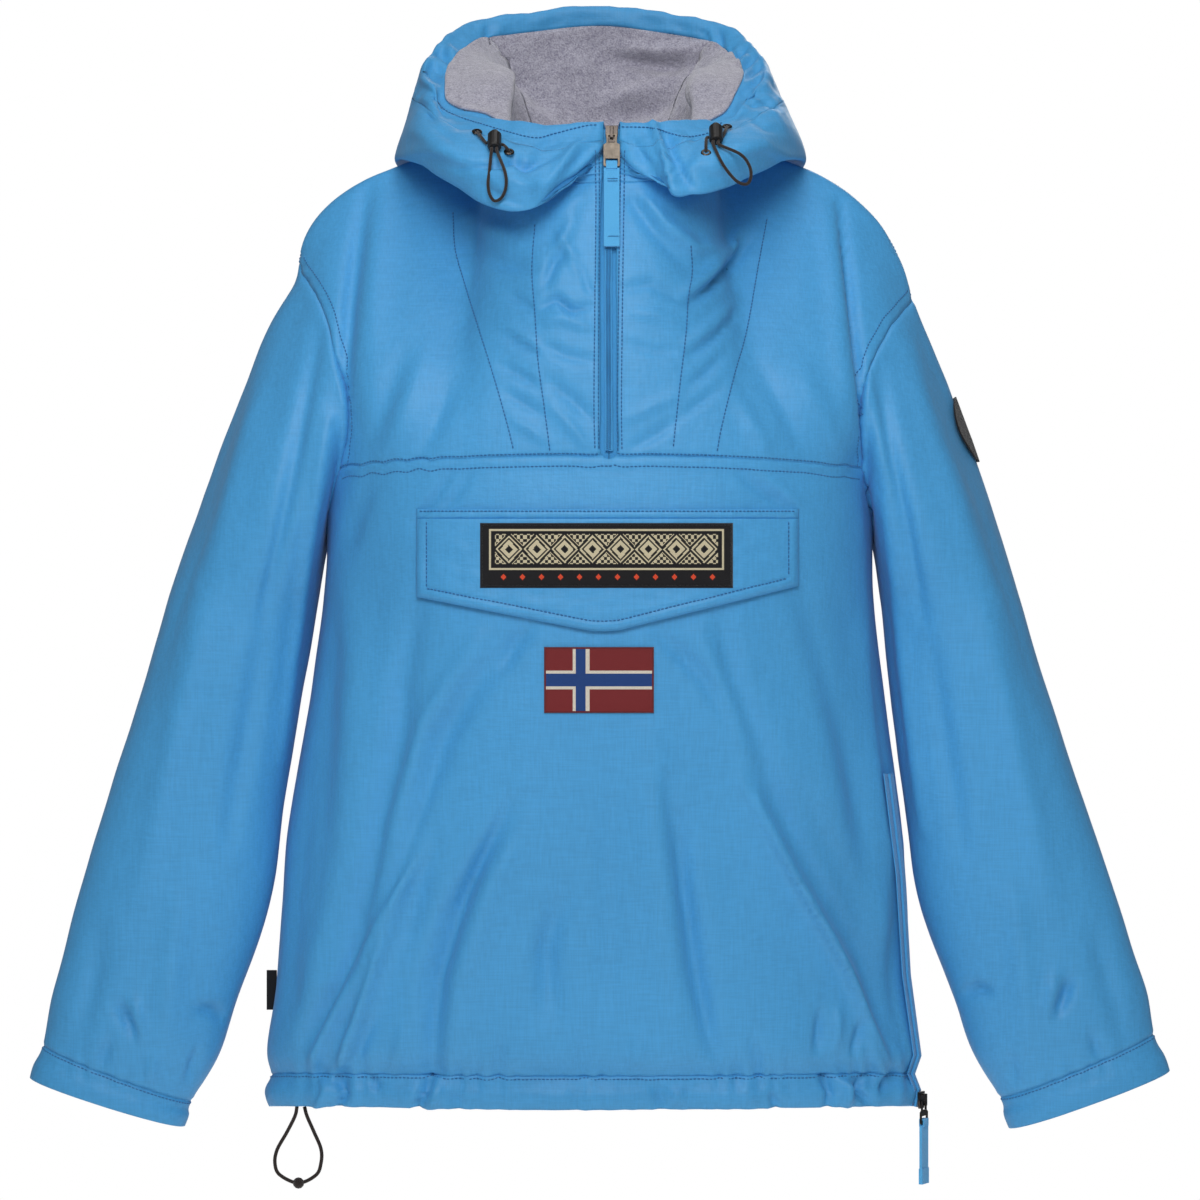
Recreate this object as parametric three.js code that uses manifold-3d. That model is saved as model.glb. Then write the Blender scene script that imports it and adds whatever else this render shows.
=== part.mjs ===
// Half-zip hooded pullover in padded nylon, filled out as worn and held up at the neck.
// Millimetres, +Z up. The front faces -Y, the wearer's right sleeve lies at -X.
// The origin is between the shoulders at neck height.
import * as THREE from "three";
import Module from "manifold-3d";
import { mergeVertices } from "three/addons/utils/BufferGeometryUtils.js";

const wasm = await Module();
wasm.setup();

// Cloth and sewing.
const CLOTH = 2.6; // padded shell wall
const FLEECE = 2.4; // hood lining wall
const SEAM = 0.2; // each piece stops this far short of its seam line
const REST = 0.6; // an overlay lies this far off the facets that carry it
const ROUND = 2.3; // exponent of the body's rounded sections

// Sight line used to place trims: the eye, the size of one unit of the sighting grid and its zero.
const EYE = [0, -3000, -312];
const UNIT = 0.78;
const ZERO = [600, 200];

// Body sections: z, left edge, right edge, front depth, back depth.
const BODY = [
  [-730, -258, 248, 91, 90],
  [-700, -258, 248, 92, 91],
  [-682, -258, 248, 95, 93],
  [-624, -253, 243, 104, 98],
  [-546, -248, 239.5, 113, 104],
  [-491, -244, 235, 119, 109],
  [-421, -232, 226, 127, 116],
  [-312, -215.5, 213.5, 136, 125],
  [-262, -213, 213, 138, 128],
  [-204, -214, 216, 136, 128],
];
// Rows of the body: side height, front centre height, back centre height, fullness.
const ROWS = [
  [-682, -672, -691, -3.5],
  [-667, -658, -675, 3],
  [-638, -630, -645, 2],
  [-604, -597, -610, 0],
  [-566, -560, -571, 0],
  [-527, -521, -531, 0],
  [-488, -482, -491, 0],
  [-449, -442, -451, 0],
  [-410, -402, -412, 0],
  [-371, -362, -372, 0],
  [-333, -324, -334, 0],
  [-297, -288, -297, 0],
  [-262, -256, -262, 0],
  [-247, -241, 0, 0],
  [-230, -223, 0, 0],
  [-212, -204, 0, 0],
];
const SIDE_ROWS = 12;
const HEM = 25; // height of the hem band
const YOKE_ROWS = 9;
const SHOULDER_STEPS = 5;
const NECK_STEPS = 6; // front neckline, each side
const NAPE_STEPS = 5; // back neckline, each side
const YOKE_STEPS = SHOULDER_STEPS + NECK_STEPS;

// Front zip: height, centre x, depth of the shell beside it.
const ZIP = [
  [-204, 6.7, -136],
  [-150, 6.4, -134],
  [-100, 6.2, -129],
  [-50, 6, -121.5],
  [3, 7.5, -112],
  [30, 8.5, -106.5],
  [48, 9, -102],
];
const SLOT = 6.2; // half width of the slot
const ZIP_LOW = -204;
const ZIP_NECK = 3;
const ZIP_TOP = 46;

// Armholes, from the chest seam up to the shoulder tip, and from the underarm up the back.
const ARM = {
  left: {
    low: [[-1], [-210, -247], [-205, -230], [-200, -212]],
    front: [
      [-193, -73, -183], [-194, -77, -153], [-200, -72, -133], [-206, -62, -110],
      [-211, -51, -91], [-222, -32, -70], [-236, -4, -50],
    ],
    back: [[-209, 38, -243], [-203, 68, -208], [-201, 80, -160], [-206, 72, -115], [-222, 42, -76]],
    shoulder: [[-236, -4, -50], [-236, 2, -37], [-226, 5, -16.5], [-209, 6, 3], [-187, 6, 17], [-163, 6, 27], [-130, 6, 38], [-94, 5, 49]],
  },
  right: {
    low: [[1], [211, -247], [206, -230], [202, -213]],
    front: [
      [200, -72, -183], [200, -76, -164], [202, -74, -148], [208, -66, -130],
      [219, -51, -109], [231, -32, -93], [245, -4, -77],
    ],
    back: [[209, 38, -243], [205, 68, -210], [204, 79, -172], [210, 70, -134], [228, 42, -100]],
    shoulder: [[245, -4, -77], [240, 3, -57], [231, 5, -36], [218, 6, -16.5], [200, 6, 3], [181, 6, 16], [159, 6, 27], [128, 6, 38], [94, 5, 49]],
  },
};

// Sleeves: sighting row, centre column, half width across, half depth, forward shift.
const SLEEVE = {
  left: [
    [600, 245, 56.5, 62, 0], [700, 221.5, 62, 55, -2], [800, 198, 67.5, 48, -4], [875, 182.5, 72.5, 42, -6],
    [950, 159, 71, 38, -7], [1000, 144, 69, 36, -8], [1050, 128, 66.5, 34, -9], [1072.5, 118.5, 62.5, 32, -9],
  ],
  right: [
    [600, 949, 53, 62, 0], [700, 969.3, 60.5, 55, -2], [800, 992, 68, 48, -4], [875, 1009, 73.5, 42, -6],
    [950, 1034.5, 72.5, 38, -7], [1000, 1051, 71, 36, -8], [1050, 1068.5, 69.5, 34, -9], [1065, 1075.5, 65.5, 32, -9],
  ],
};
const CUFF_END = { left: [1100, 109.5, 63, 32, -9], right: [1097.5, 1087.5, 66.5, 32, -9] };
const SLEEVE_BLEND = 6;
const SLEEVE_RUN = 11;
const SLEEVE_AROUND = 24;

// Hood stations from the zip round to the centre back. N neckline seam, Q first lift, F lowest fold,
// M fullest point, R rim; A and B shape the lining and E is its edge inside the neckline.
const HOOD = {
  left: {
    N: [0, [-32, -107, 5], [-58, -92, 13], [-76, -66, 27], [-88, -34, 40], [-94, 5, 49], [-80, 44, 45], [-46, 72, 37], [0, 82, 33]],
    Q: [0, [-34, -122, 2], [-61, -117, 8], [-86, -92, 24], [-108, -56, 43], [-121, 2, 57], [-101, 68, 50], [-58, 101, 40], [0, 112, 34]],
    F: [0, [-38, -133, -14], [-66, -137, -25], [-96, -118, -12], [-130, -82, 16], [-160, -6, 30], [-138, 92, 13], [-88, 136, -14], [0, 148, -34]],
    M: [0, [-38, -133, 8], [-68, -143, 2], [-104, -127, 22], [-138, -84, 46], [-154, 0, 52], [-142, 86, 56], [-94, 146, 52], [0, 160, 46]],
    R: [0, [-38, -104, 43], [-73, -94, 49], [-99, -74, 57], [-128, -41, 80], [-140, 0, 100], [-124, 50, 132], [-92, 82, 150], [0, 101, 163]],
    A: [0, [-34, -94, 31], [-60, -83, 37], [-72, -57, 58], [-68, -30, 88], [-67, -2, 102], [-84, 40, 112], [-62, 78, 106], [0, 98, 112]],
    B: [0, [-30, -98, 18], [-53, -82, 26], [-66, -58, 38], [-72, -30, 54], [-74, 2, 66], [-70, 40, 70], [-48, 68, 66], [0, 86, 66]],
    E: [0, [-29, -100, 6], [-52, -86, 14], [-69, -62, 27], [-80, -33, 40], [-85, 4, 46], [-72, 39, 43], [-41, 65, 36], [0, 74, 33]],
  },
  right: {
    N: [0, [42, -106, 5], [66, -90, 14], [80, -65, 28], [89, -34, 40], [94, 5, 49], [80, 44, 45], [46, 72, 37], [0, 82, 33]],
    Q: [0, [45, -121, 4], [70, -114, 12], [92, -89, 28], [109, -54, 45], [121, 2, 57], [101, 68, 50], [58, 101, 40], [0, 112, 34]],
    F: [0, [48, -130, -3], [76, -132, -9], [104, -112, 1], [134, -76, 20], [160, -6, 30], [138, 92, 13], [88, 136, -14], [0, 148, -34]],
    M: [0, [46, -131, 12], [78, -139, 12], [110, -119, 28], [140, -78, 46], [154, 0, 52], [142, 86, 56], [94, 146, 52], [0, 160, 46]],
    R: [0, [38, -104, 44], [73, -94, 49], [99, -74, 57], [126, -41, 80], [133, 0, 99], [122, 50, 126], [93, 82, 148], [0, 101, 163]],
    A: [0, [34, -94, 31], [60, -83, 37], [72, -57, 58], [70, -30, 88], [73, -2, 101], [88, 40, 108], [62, 78, 106], [0, 98, 112]],
    B: [0, [30, -98, 18], [53, -82, 26], [66, -58, 38], [72, -30, 54], [76, 2, 66], [70, 40, 70], [48, 68, 66], [0, 86, 66]],
    E: [0, [29, -100, 6], [52, -86, 14], [69, -62, 27], [80, -33, 40], [85, 4, 46], [72, 39, 43], [41, 65, 36], [0, 74, 33]],
  },
};
const HOOD_ROWS = [0, 0.13, 0.25, 0.38, 0.5, 0.62, 0.75];
const CASING = 22;
const RIM = 9; // thickness across the rim's cord casing
const FACING = 12;
const LINING_ROWS = 6;

// The largest folds of the front: line in sighting units, reach across, height (a trough is negative).
const FOLDS = [
  [[[367, 197], [364, 242], [354, 303], [347, 364]], 16, -5],
  [[[841, 205], [847, 262], [855, 333], [862, 395]], 16, -6],
  [[[640, 150], [664, 190], [700, 226], [752, 232]], 17, 5],
  [[[560, 680], [520, 800], [470, 930], [440, 1040]], 30, 4],
  [[[655, 690], [700, 800], [770, 920], [830, 1020]], 32, -4],
  [[[330, 560], [390, 640], [440, 700]], 26, -4],
  [[[880, 560], [820, 640], [760, 690]], 26, -4],
  [[[300, 960], [360, 1000], [420, 1010]], 24, 4],
];

// Materials.
const paint = (color, roughness = 0.8, metalness = 0) => new THREE.MeshStandardMaterial({ color, roughness, metalness });
const SHELL = paint(0x4b9bd2, 0.6);
const SHELL_DEEP = paint(0x3b86bd, 0.65);
const FLEECED = paint(0x9b9aa9, 0.95);
const WOVEN_BLACK = paint(0x17171a, 0.85);
const WOVEN_RED = paint(0x7a2a2c, 0.85);
const CORD_DARK = paint(0x2a2320, 0.8);
const PLASTIC = paint(0x1c1a19, 0.45);
const NICKEL = paint(0x9a9894, 0.3, 0.9);
const GUNMETAL = paint(0x4b4643, 0.35, 0.85);
const TAPE = paint(0x3f8cc4, 0.85);

const object = new THREE.Group();
const add = (name, geometry, material) => {
  const mesh = new THREE.Mesh(geometry, material);
  mesh.name = name;
  object.add(mesh);
  return mesh;
};

// Small vector helpers on plain arrays.
const plus = (a, b, k = 1) => [a[0] + b[0] * k, a[1] + b[1] * k, a[2] + b[2] * k];
const less = (a, b) => [a[0] - b[0], a[1] - b[1], a[2] - b[2]];
const cross = (a, b) => [a[1] * b[2] - a[2] * b[1], a[2] * b[0] - a[0] * b[2], a[0] * b[1] - a[1] * b[0]];
const dot = (a, b) => a[0] * b[0] + a[1] * b[1] + a[2] * b[2];
const size = (a) => Math.hypot(...a);
const unit = (a) => { const l = size(a) || 1; return [a[0] / l, a[1] / l, a[2] / l]; };
const mix = (a, b, t) => a.map((v, i) => v + (b[i] - v) * t);
const clamp = (v, lo, hi) => Math.min(hi, Math.max(lo, v));

// Smooth reading of a table whose first column rises.
function read(table, at) {
  const n = table.length;
  if (at <= table[0][0]) return table[0].slice(1);
  if (at >= table[n - 1][0]) return table[n - 1].slice(1);
  let k = 0;
  while (table[k + 1][0] < at) k++;
  const slope = (i, c) => {
    const a = table[Math.max(0, i - 1)], b = table[Math.min(n - 1, i + 1)];
    return (b[c] - a[c]) / (b[0] - a[0]);
  };
  const w = table[k + 1][0] - table[k][0], t = (at - table[k][0]) / w;
  return table[k].slice(1).map((_, i) => {
    const c = i + 1;
    return (1 + 2 * t) * (1 - t) ** 2 * table[k][c] + t * (1 - t) ** 2 * w * slope(k, c)
      + t * t * (3 - 2 * t) * table[k + 1][c] + t * t * (t - 1) * w * slope(k + 1, c);
  });
}
const v3 = (p) => new THREE.Vector3(...p);
const curveOf = (points, kind = "centripetal") => new THREE.CatmullRomCurve3(points.map(v3), false, kind, 0.5);
const spaced = (points, steps) => curveOf(points).getSpacedPoints(steps).map((p) => p.toArray());

// A sighting unit pair taken to the plane at depth y.
function sight(px, py, y = 0) {
  const k = (y - EYE[1]) / -EYE[1];
  return [(px - ZERO[0]) * UNIT * k, y, EYE[2] + ((ZERO[1] - py) * UNIT - EYE[2]) * k];
}

// Body section: s runs -1 at the left side, 0 at the centre, 1 at the right side.
function body(z, s, back, full = 0) {
  const [left, right, front, rear] = read(BODY, z);
  const mid = (left + right) / 2, half = (right - left) / 2 + full;
  const c = Math.sin((s * Math.PI) / 2), d = Math.cos((s * Math.PI) / 2);
  const x = mid + half * Math.sign(c) * Math.abs(c) ** (2 / ROUND);
  const y = Math.max(0, d) ** (2 / ROUND) * ((back ? rear : front) + full);
  return [x, back ? y : -y, z];
}
function sideOf(x, z) {
  const [left, right] = read(BODY, z);
  const f = (x - (left + right) / 2) / ((right - left) / 2);
  return (Math.sign(f) * Math.asin(clamp(Math.abs(f), 0, 1) ** (ROUND / 2)) * 2) / Math.PI;
}
const zipX = (z) => read(ZIP, z)[0];
const zipY = (z) => read(ZIP, z)[1];

// Folds lift a point of the front along -Y, by its place in the sighting grid.
function seen(p) {
  const k = (p[1] - EYE[1]) / -EYE[1];
  return [p[0] / k / UNIT + ZERO[0], ZERO[1] - ((p[2] - EYE[2]) / k + EYE[2]) / UNIT];
}
function folded(p, keep = 1) {
  const [u, v] = seen(p);
  let lift = 0;
  for (const [line, reach, height] of FOLDS) {
    let best = 1e9, along = 0;
    for (let i = 0; i + 1 < line.length; i++) {
      const [ax, ay] = line[i], [bx, by] = line[i + 1];
      const t = clamp(((u - ax) * (bx - ax) + (v - ay) * (by - ay)) / ((bx - ax) ** 2 + (by - ay) ** 2), 0, 1);
      const d = Math.hypot(u - ax - (bx - ax) * t, v - ay - (by - ay) * t);
      if (d < best) { best = d; along = (i + t) / (line.length - 1); }
    }
    lift += height * Math.exp(-((best / reach) ** 2)) * Math.sin(Math.PI * clamp(along * 0.8 + 0.1, 0, 1));
  }
  return [p[0], p[1] - lift * keep, p[2]];
}

// Sheets are grids of points on the outer face, welded by place so that neighbours share normals.
const sheets = [];
const places = new Map();
const key = (p) => p.map((v) => Math.round(v * 50)).join();
function sheet(name, grid, { wrap = false, flip = false, wall = CLOTH, material = SHELL } = {}) {
  sheets.push({ name, grid, wrap, flip, wall, material });
}
function trianglesOf({ grid, wrap, flip }) {
  const rows = grid.length, cols = grid[0].length, out = [];
  for (let j = 0; j + 1 < rows; j++)
    for (let i = 0; i < (wrap ? cols : cols - 1); i++) {
      const k = (i + 1) % cols;
      const a = [j, i], b = [j, k], c = [j + 1, k], d = [j + 1, i];
      const at = ([r, q]) => grid[r][q];
      const cut = size(less(at(a), at(c))) <= size(less(at(b), at(d))) ? [[a, b, c], [a, c, d]] : [[a, b, d], [b, c, d]];
      for (const t of cut) out.push(flip ? [t[0], t[2], t[1]] : t);
    }
  return out;
}
function weld() {
  for (const s of sheets) {
    const own = new Map();
    s.triangles = trianglesOf(s);
    for (const t of s.triangles) {
      const [a, b, c] = t.map(([r, q]) => s.grid[r][q]);
      const n = cross(less(b, a), less(c, a));
      for (const p of [a, b, c]) own.set(key(p), plus(own.get(key(p)) ?? [0, 0, 0], n));
    }
    for (const [k, n] of own) places.set(k, plus(places.get(k) ?? [0, 0, 0], unit(n)));
  }
}
// Turns a grid into one closed wall: outer face, inner face and the edges between them.
function build(s) {
  const { grid, wrap, wall } = s, rows = grid.length, cols = grid[0].length;
  const outer = [], inner = [];
  const last = (j, i) => {
    const dj = j === 0 ? 1 : j === rows - 1 ? -1 : 0;
    const di = wrap ? 0 : i === 0 ? 1 : i === cols - 1 ? -1 : 0;
    return [dj, di];
  };
  for (let j = 0; j < rows; j++) {
    outer.push([]);
    inner.push([]);
    for (let i = 0; i < cols; i++) {
      const p = grid[j][i], n = unit(places.get(key(p)));
      const [dj, di] = last(j, i);
      let shift = [0, 0, 0];
      if (dj) shift = plus(shift, unit(less(grid[j + dj][i], p)), SEAM);
      if (di) shift = plus(shift, unit(less(grid[j][i + di], p)), SEAM);
      const q = plus(p, shift);
      outer[j].push(q);
      inner[j].push(plus(q, n, -wall));
    }
  }
  s.outer = outer;
  s.inner = inner;
  return close(s);
}
function close({ grid, outer, inner, triangles, wrap, flip }) {
  const rows = outer.length, cols = outer[0].length, index = [], points = [];
  const id = (side, j, i) => (side * rows + j) * cols + i;
  for (const face of [outer, inner]) for (const row of face) for (const p of row) points.push(...p);
  for (const t of triangles) {
    index.push(...t.map(([j, i]) => id(0, j, i)));
    index.push(...[t[0], t[2], t[1]].map(([j, i]) => id(1, j, i)));
  }
  const rim = [];
  const edge = (a, b) => rim.push([a, b]);
  for (let i = 0; i < (wrap ? cols : cols - 1); i++) {
    const k = (i + 1) % cols;
    edge([0, i], [0, k]);
    edge([rows - 1, k], [rows - 1, i]);
  }
  if (!wrap)
    for (let j = 0; j + 1 < rows; j++) {
      edge([j, cols - 1], [j + 1, cols - 1]);
      edge([j + 1, 0], [j, 0]);
    }
  for (const [a, b] of rim) {
    const oa = id(0, ...a), ob = id(0, ...b), ia = id(1, ...a), ib = id(1, ...b);
    // Both pieces at a seam split its face along the same diagonal.
    const first = key(grid[a[0]][a[1]]) < key(grid[b[0]][b[1]]);
    const side = first ? [[oa, ib, ob], [oa, ia, ib]] : [[oa, ia, ob], [ob, ia, ib]];
    for (const t of side) index.push(...(flip ? [t[0], t[2], t[1]] : t));
  }
  const g = new THREE.BufferGeometry();
  g.setAttribute("position", new THREE.Float32BufferAttribute(points, 3));
  g.setIndex(index);
  return g;
}

// Front of the body below the chest seam.
const chestRow = (() => {
  const points = [], at = (x) => {
    const z = ROWS[15][1] + (ROWS[15][0] - ROWS[15][1]) * (Math.abs(x) / 200) ** 2;
    return body(z, sideOf(x, z), false);
  };
  const l = zipX(ZIP_LOW) - SLOT, r = zipX(ZIP_LOW) + SLOT;
  for (let i = 0; i <= YOKE_STEPS; i++) points.push(at(-200 + ((l + 200) * i) / YOKE_STEPS));
  for (let i = 0; i <= YOKE_STEPS; i++) points.push(at(r + ((202 - r) * i) / YOKE_STEPS));
  return points;
})();
const FRONT_STEPS = chestRow.length - 1;
const gather = (i, n) => 1.3 * Math.sin(i * 2.1) * Math.sin((Math.PI * i) / n);
const frontRows = ROWS.map(([side, mid, , full], j) => {
  if (j === ROWS.length - 1) return chestRow;
  const ends = j <= SIDE_ROWS ? [-1, 1] : ["left", "right"].map((k) => sideOf(...ARM[k].low[j - SIDE_ROWS]));
  const top = chestRow.map((p) => sideOf(p[0], p[2]));
  const row = [];
  for (let i = 0; i <= FRONT_STEPS; i++) {
    const even = i / FRONT_STEPS, high = (top[i] - top[0]) / (top[FRONT_STEPS] - top[0]);
    const s = ends[0] + (ends[1] - ends[0]) * (even + (high - even) * (j / 15));
    const z = mid + (side - mid) * Math.abs(s) ** 3;
    row.push(body(z, s, false, full + (j < 2 ? gather(i, FRONT_STEPS) * 1.4 : 0)));
  }
  return row;
});
const BACK_STEPS = 2 * (SHOULDER_STEPS + NAPE_STEPS);
const backRows = ROWS.slice(0, SIDE_ROWS + 1).map(([side, , mid, full], j) => {
  const row = [];
  for (let i = 0; i <= BACK_STEPS; i++) {
    const s = 1 - (2 * i) / BACK_STEPS;
    const z = mid + (side - mid) * Math.abs(s) ** 3;
    row.push(body(z, s, true, full + (j < 2 ? gather(i, BACK_STEPS) * 1.4 : 0)));
  }
  return row;
});
// The two share their side seams exactly.
for (let j = 0; j <= SIDE_ROWS; j++) {
  backRows[j][0] = frontRows[j][FRONT_STEPS].slice();
  backRows[j][BACK_STEPS] = frontRows[j][0].slice();
}

// Armhole loops, tip first, down the front to the underarm and up the back.
function armhole(side) {
  const a = ARM[side], col = side === "left" ? 0 : FRONT_STEPS;
  const low = frontRows.slice(SIDE_ROWS).map((r) => r[col]); // underarm up to the chest seam
  const chest = low[low.length - 1];
  const rise = spaced([chest, ...a.front], YOKE_ROWS);
  rise[0] = chest;
  const rear = spaced([low[0], ...a.back, rise[YOKE_ROWS]], 12);
  rear[0] = low[0];
  rear[12] = rise[YOKE_ROWS];
  return { rise, rear, loop: [...rise.slice().reverse(), ...low.slice(0, -1).reverse(), ...rear.slice(1, -1)] };
}
const holes = { left: armhole("left"), right: armhole("right") };

// Hood stations, read along each side from the zip (0) to the centre back (8).
function station(side, letter) {
  const points = HOOD[side][letter].slice();
  const x = (z) => zipX(z) + (side === "left" ? -SLOT : SLOT);
  const starts = {
    N: [x(ZIP_NECK), zipY(ZIP_NECK), ZIP_NECK], Q: [x(13), zipY(13), 13], F: [x(23), zipY(23), 23],
    M: [x(33), zipY(33), 33], R: [x(ZIP_TOP), zipY(ZIP_TOP), ZIP_TOP],
    A: [x(34), zipY(34) + 10, 34], B: [x(20), zipY(20) + 9, 20], E: [x(6), zipY(6) + 8.5, 6],
  };
  points[0] = starts[letter];
  return curveOf(points, "catmullrom");
}
const STATIONS = [];
for (let i = 0; i <= NECK_STEPS; i++) STATIONS.push((5 * i) / NECK_STEPS);
for (let i = 1; i <= NAPE_STEPS; i++) STATIONS.push(5 + (3 * i) / NAPE_STEPS);
const hood = {};
for (const side of ["left", "right"]) {
  const rail = Object.fromEntries([..."NQFMRABE"].map((c) => [c, station(side, c)]));
  hood[side] = STATIONS.map((s) => {
    const at = (c) => rail[c].getPoint(s / 8).toArray();
    const [N, Q, F, M, R, A, B, E] = [..."NQFMRABE"].map(at);
    const out = curveOf([N, Q, F, M, R]);
    let t = 1, run = 0, last = R;
    while (run < CASING && t > 0.76) { t -= 0.005; const p = out.getPoint(t).toArray(); run += size(less(p, last)); last = p; }
    const rows = [...HOOD_ROWS, (0.75 + t) / 2, t].map((k) => out.getPoint(k).toArray());
    const away = unit([R[0] - zipX(ZIP_TOP) * (s < 1 ? 1 - s : 0), R[1], 0]);
    const I = plus(R, away, -RIM);
    const ridge = plus(plus(R, away, -RIM / 2), [0, 0, 1], 3.5);
    const low = curveOf([I, A, B, E]);
    let q = 0; run = 0; last = I;
    while (run < FACING && q < 0.3) { q += 0.005; const p = low.getPoint(q).toArray(); run += size(less(p, last)); last = p; }
    const rim = [rows[8], out.getPoint((t + 1) / 2).toArray(), R, ridge, I, last];
    const lining = [];
    for (let k = 0; k <= LINING_ROWS; k++) lining.push(k === 0 ? last : low.getPoint(q + ((1 - q) * k) / LINING_ROWS).toArray());
    return { rows, rim, lining, N };
  });
}
// The centre back is one station for both sides.
for (const part of ["rows", "rim", "lining"])
  hood.right[11][part] = hood.left[11][part] = hood.left[11][part].map((p, i) => mix(p, hood.right[11][part][i], 0.5));
hood.left[11].N = hood.right[11].N = hood.left[11].rows[0];

// Upper body: cubic runs from a lower row to the shoulders and neckline, eased on to both side edges.
function rise(low, high, sideA, sideB, rows, startPull, endPull) {
  const n = low.length - 1;
  const at = (i, t) => {
    const p = low[i], q = high[i], a = startPull(i, p), b = endPull(i, q);
    const h = [(1 + 2 * t) * (1 - t) ** 2, t * (1 - t) ** 2, t * t * (3 - 2 * t), t * t * (t - 1)];
    return [0, 1, 2].map((c) => h[0] * p[c] + h[1] * a[c] + h[2] * q[c] + h[3] * b[c]);
  };
  const grid = [];
  for (let j = 0; j <= rows; j++) {
    const t = j / rows, da = less(sideA[j], at(0, t)), db = less(sideB[j], at(n, t)), row = [];
    for (let i = 0; i <= n; i++) {
      const u = i / n;
      row.push(plus(plus(at(i, t), da, (1 - u) ** 3), db, u ** 3));
    }
    row[0] = sideA[j].slice();
    row[n] = sideB[j].slice();
    grid.push(row);
  }
  grid[0] = low.map((p) => p.slice());
  grid[rows] = high.map((p) => p.slice());
  grid[rows][0] = sideA[rows].slice();
  return grid;
}
const shoulders = {};
for (const side of ["left", "right"]) {
  const line = spaced(ARM[side].shoulder, SHOULDER_STEPS);
  line[0] = holes[side].rise[YOKE_ROWS];
  line[SHOULDER_STEPS] = hood[side][NECK_STEPS].N;
  shoulders[side] = line;
}
const zipEdge = (sign) => {
  const edge = [];
  for (let j = 0; j <= YOKE_ROWS; j++) {
    const z = ZIP_LOW + ((ZIP_NECK - ZIP_LOW) * j) / YOKE_ROWS;
    edge.push([zipX(z) + sign * SLOT, zipY(z), z]);
  }
  return edge;
};
const yokes = {};
for (const side of ["left", "right"]) {
  const sign = side === "left" ? -1 : 1;
  const neck = hood[side].slice(0, NECK_STEPS).map((h) => h.N).reverse(); // neck point end first, zip last
  const high = [...shoulders[side], ...neck];
  const low = side === "left" ? chestRow.slice(0, YOKE_STEPS + 1) : chestRow.slice(YOKE_STEPS + 1).reverse();
  const edge = zipEdge(sign);
  edge[0] = low[YOKE_STEPS];
  edge[YOKE_ROWS] = high[YOKE_STEPS];
  const grid = rise(low, high, holes[side].rise, edge, YOKE_ROWS,
    (i, p) => [0, -6, 210 - 60 * (1 - i / YOKE_STEPS)],
    (i, q) => (i <= SHOULDER_STEPS ? [0, 105 - 8 * i, 25 + 18 * i] : [0, 95 - 6 * (i - SHOULDER_STEPS), 115 + 14 * (i - SHOULDER_STEPS)]));
  yokes[side] = side === "left" ? grid : grid.map((r) => r.slice().reverse());
}
const backHigh = [
  ...shoulders.right, ...hood.right.slice(NECK_STEPS + 1).map((h) => h.N),
  ...hood.left.slice(NECK_STEPS + 1, -1).map((h) => h.N).reverse(), ...shoulders.left.slice().reverse(),
];
const upperBack = rise(backRows[SIDE_ROWS], backHigh, holes.right.rear, holes.left.rear, 12,
  (i, p) => [0, 4 * Math.sin((Math.PI * i) / BACK_STEPS), 220],
  (i, q) => {
    const edge = Math.min(i, BACK_STEPS - i);
    return edge <= SHOULDER_STEPS ? [0, -120 + 6 * edge, 20 + 10 * edge] : [0, -95, 95];
  });

// Folds on the free parts of the front; seam rows keep their line.
const ease = (v, lo, hi) => clamp((v - lo) / (hi - lo), 0, 1);
const frontGrid = frontRows.map((row, j) => row.map((p, i) =>
  j === 0 || i === 0 || i === FRONT_STEPS || j >= 15 ? p : folded(p, Math.min(ease(j, 0, 3), ease(15 - j, 0, 2)))));
for (const side of ["left", "right"])
  yokes[side] = yokes[side].map((row, j) => row.map((p, i) =>
    j === 0 || j === YOKE_ROWS || i === 0 || i === YOKE_STEPS ? p : folded(p)));

sheet("front_lower", frontGrid);
sheet("yoke_left", yokes.left);
sheet("yoke_right", yokes.right);
sheet("back", [...backRows, ...upperBack.slice(1)]);
const hemRows = (back) => {
  const rows = [], steps = back ? BACK_STEPS : FRONT_STEPS, top = back ? backRows[0] : frontRows[0];
  for (const [drop, full] of [[1, -1], [0.5, 1.2]]) {
    const row = [];
    for (let i = 0; i <= steps; i++) {
      const s = back ? 1 - (2 * i) / steps : -1 + (2 * i) / steps;
      row.push(body(top[i][2] - HEM * drop, s, back, full - gather(i, steps) * 1.6));
    }
    rows.push(row);
  }
  rows.push(top);
  return rows;
};
const hemFront = hemRows(false), hemBack = hemRows(true);
for (let j = 0; j < 3; j++) {
  hemBack[j][0] = hemFront[j][FRONT_STEPS].slice();
  hemBack[j][BACK_STEPS] = hemFront[j][0].slice();
}
sheet("hem_front", hemFront, { material: SHELL_DEEP });
sheet("hem_back", hemBack, { material: SHELL_DEEP });

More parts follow.
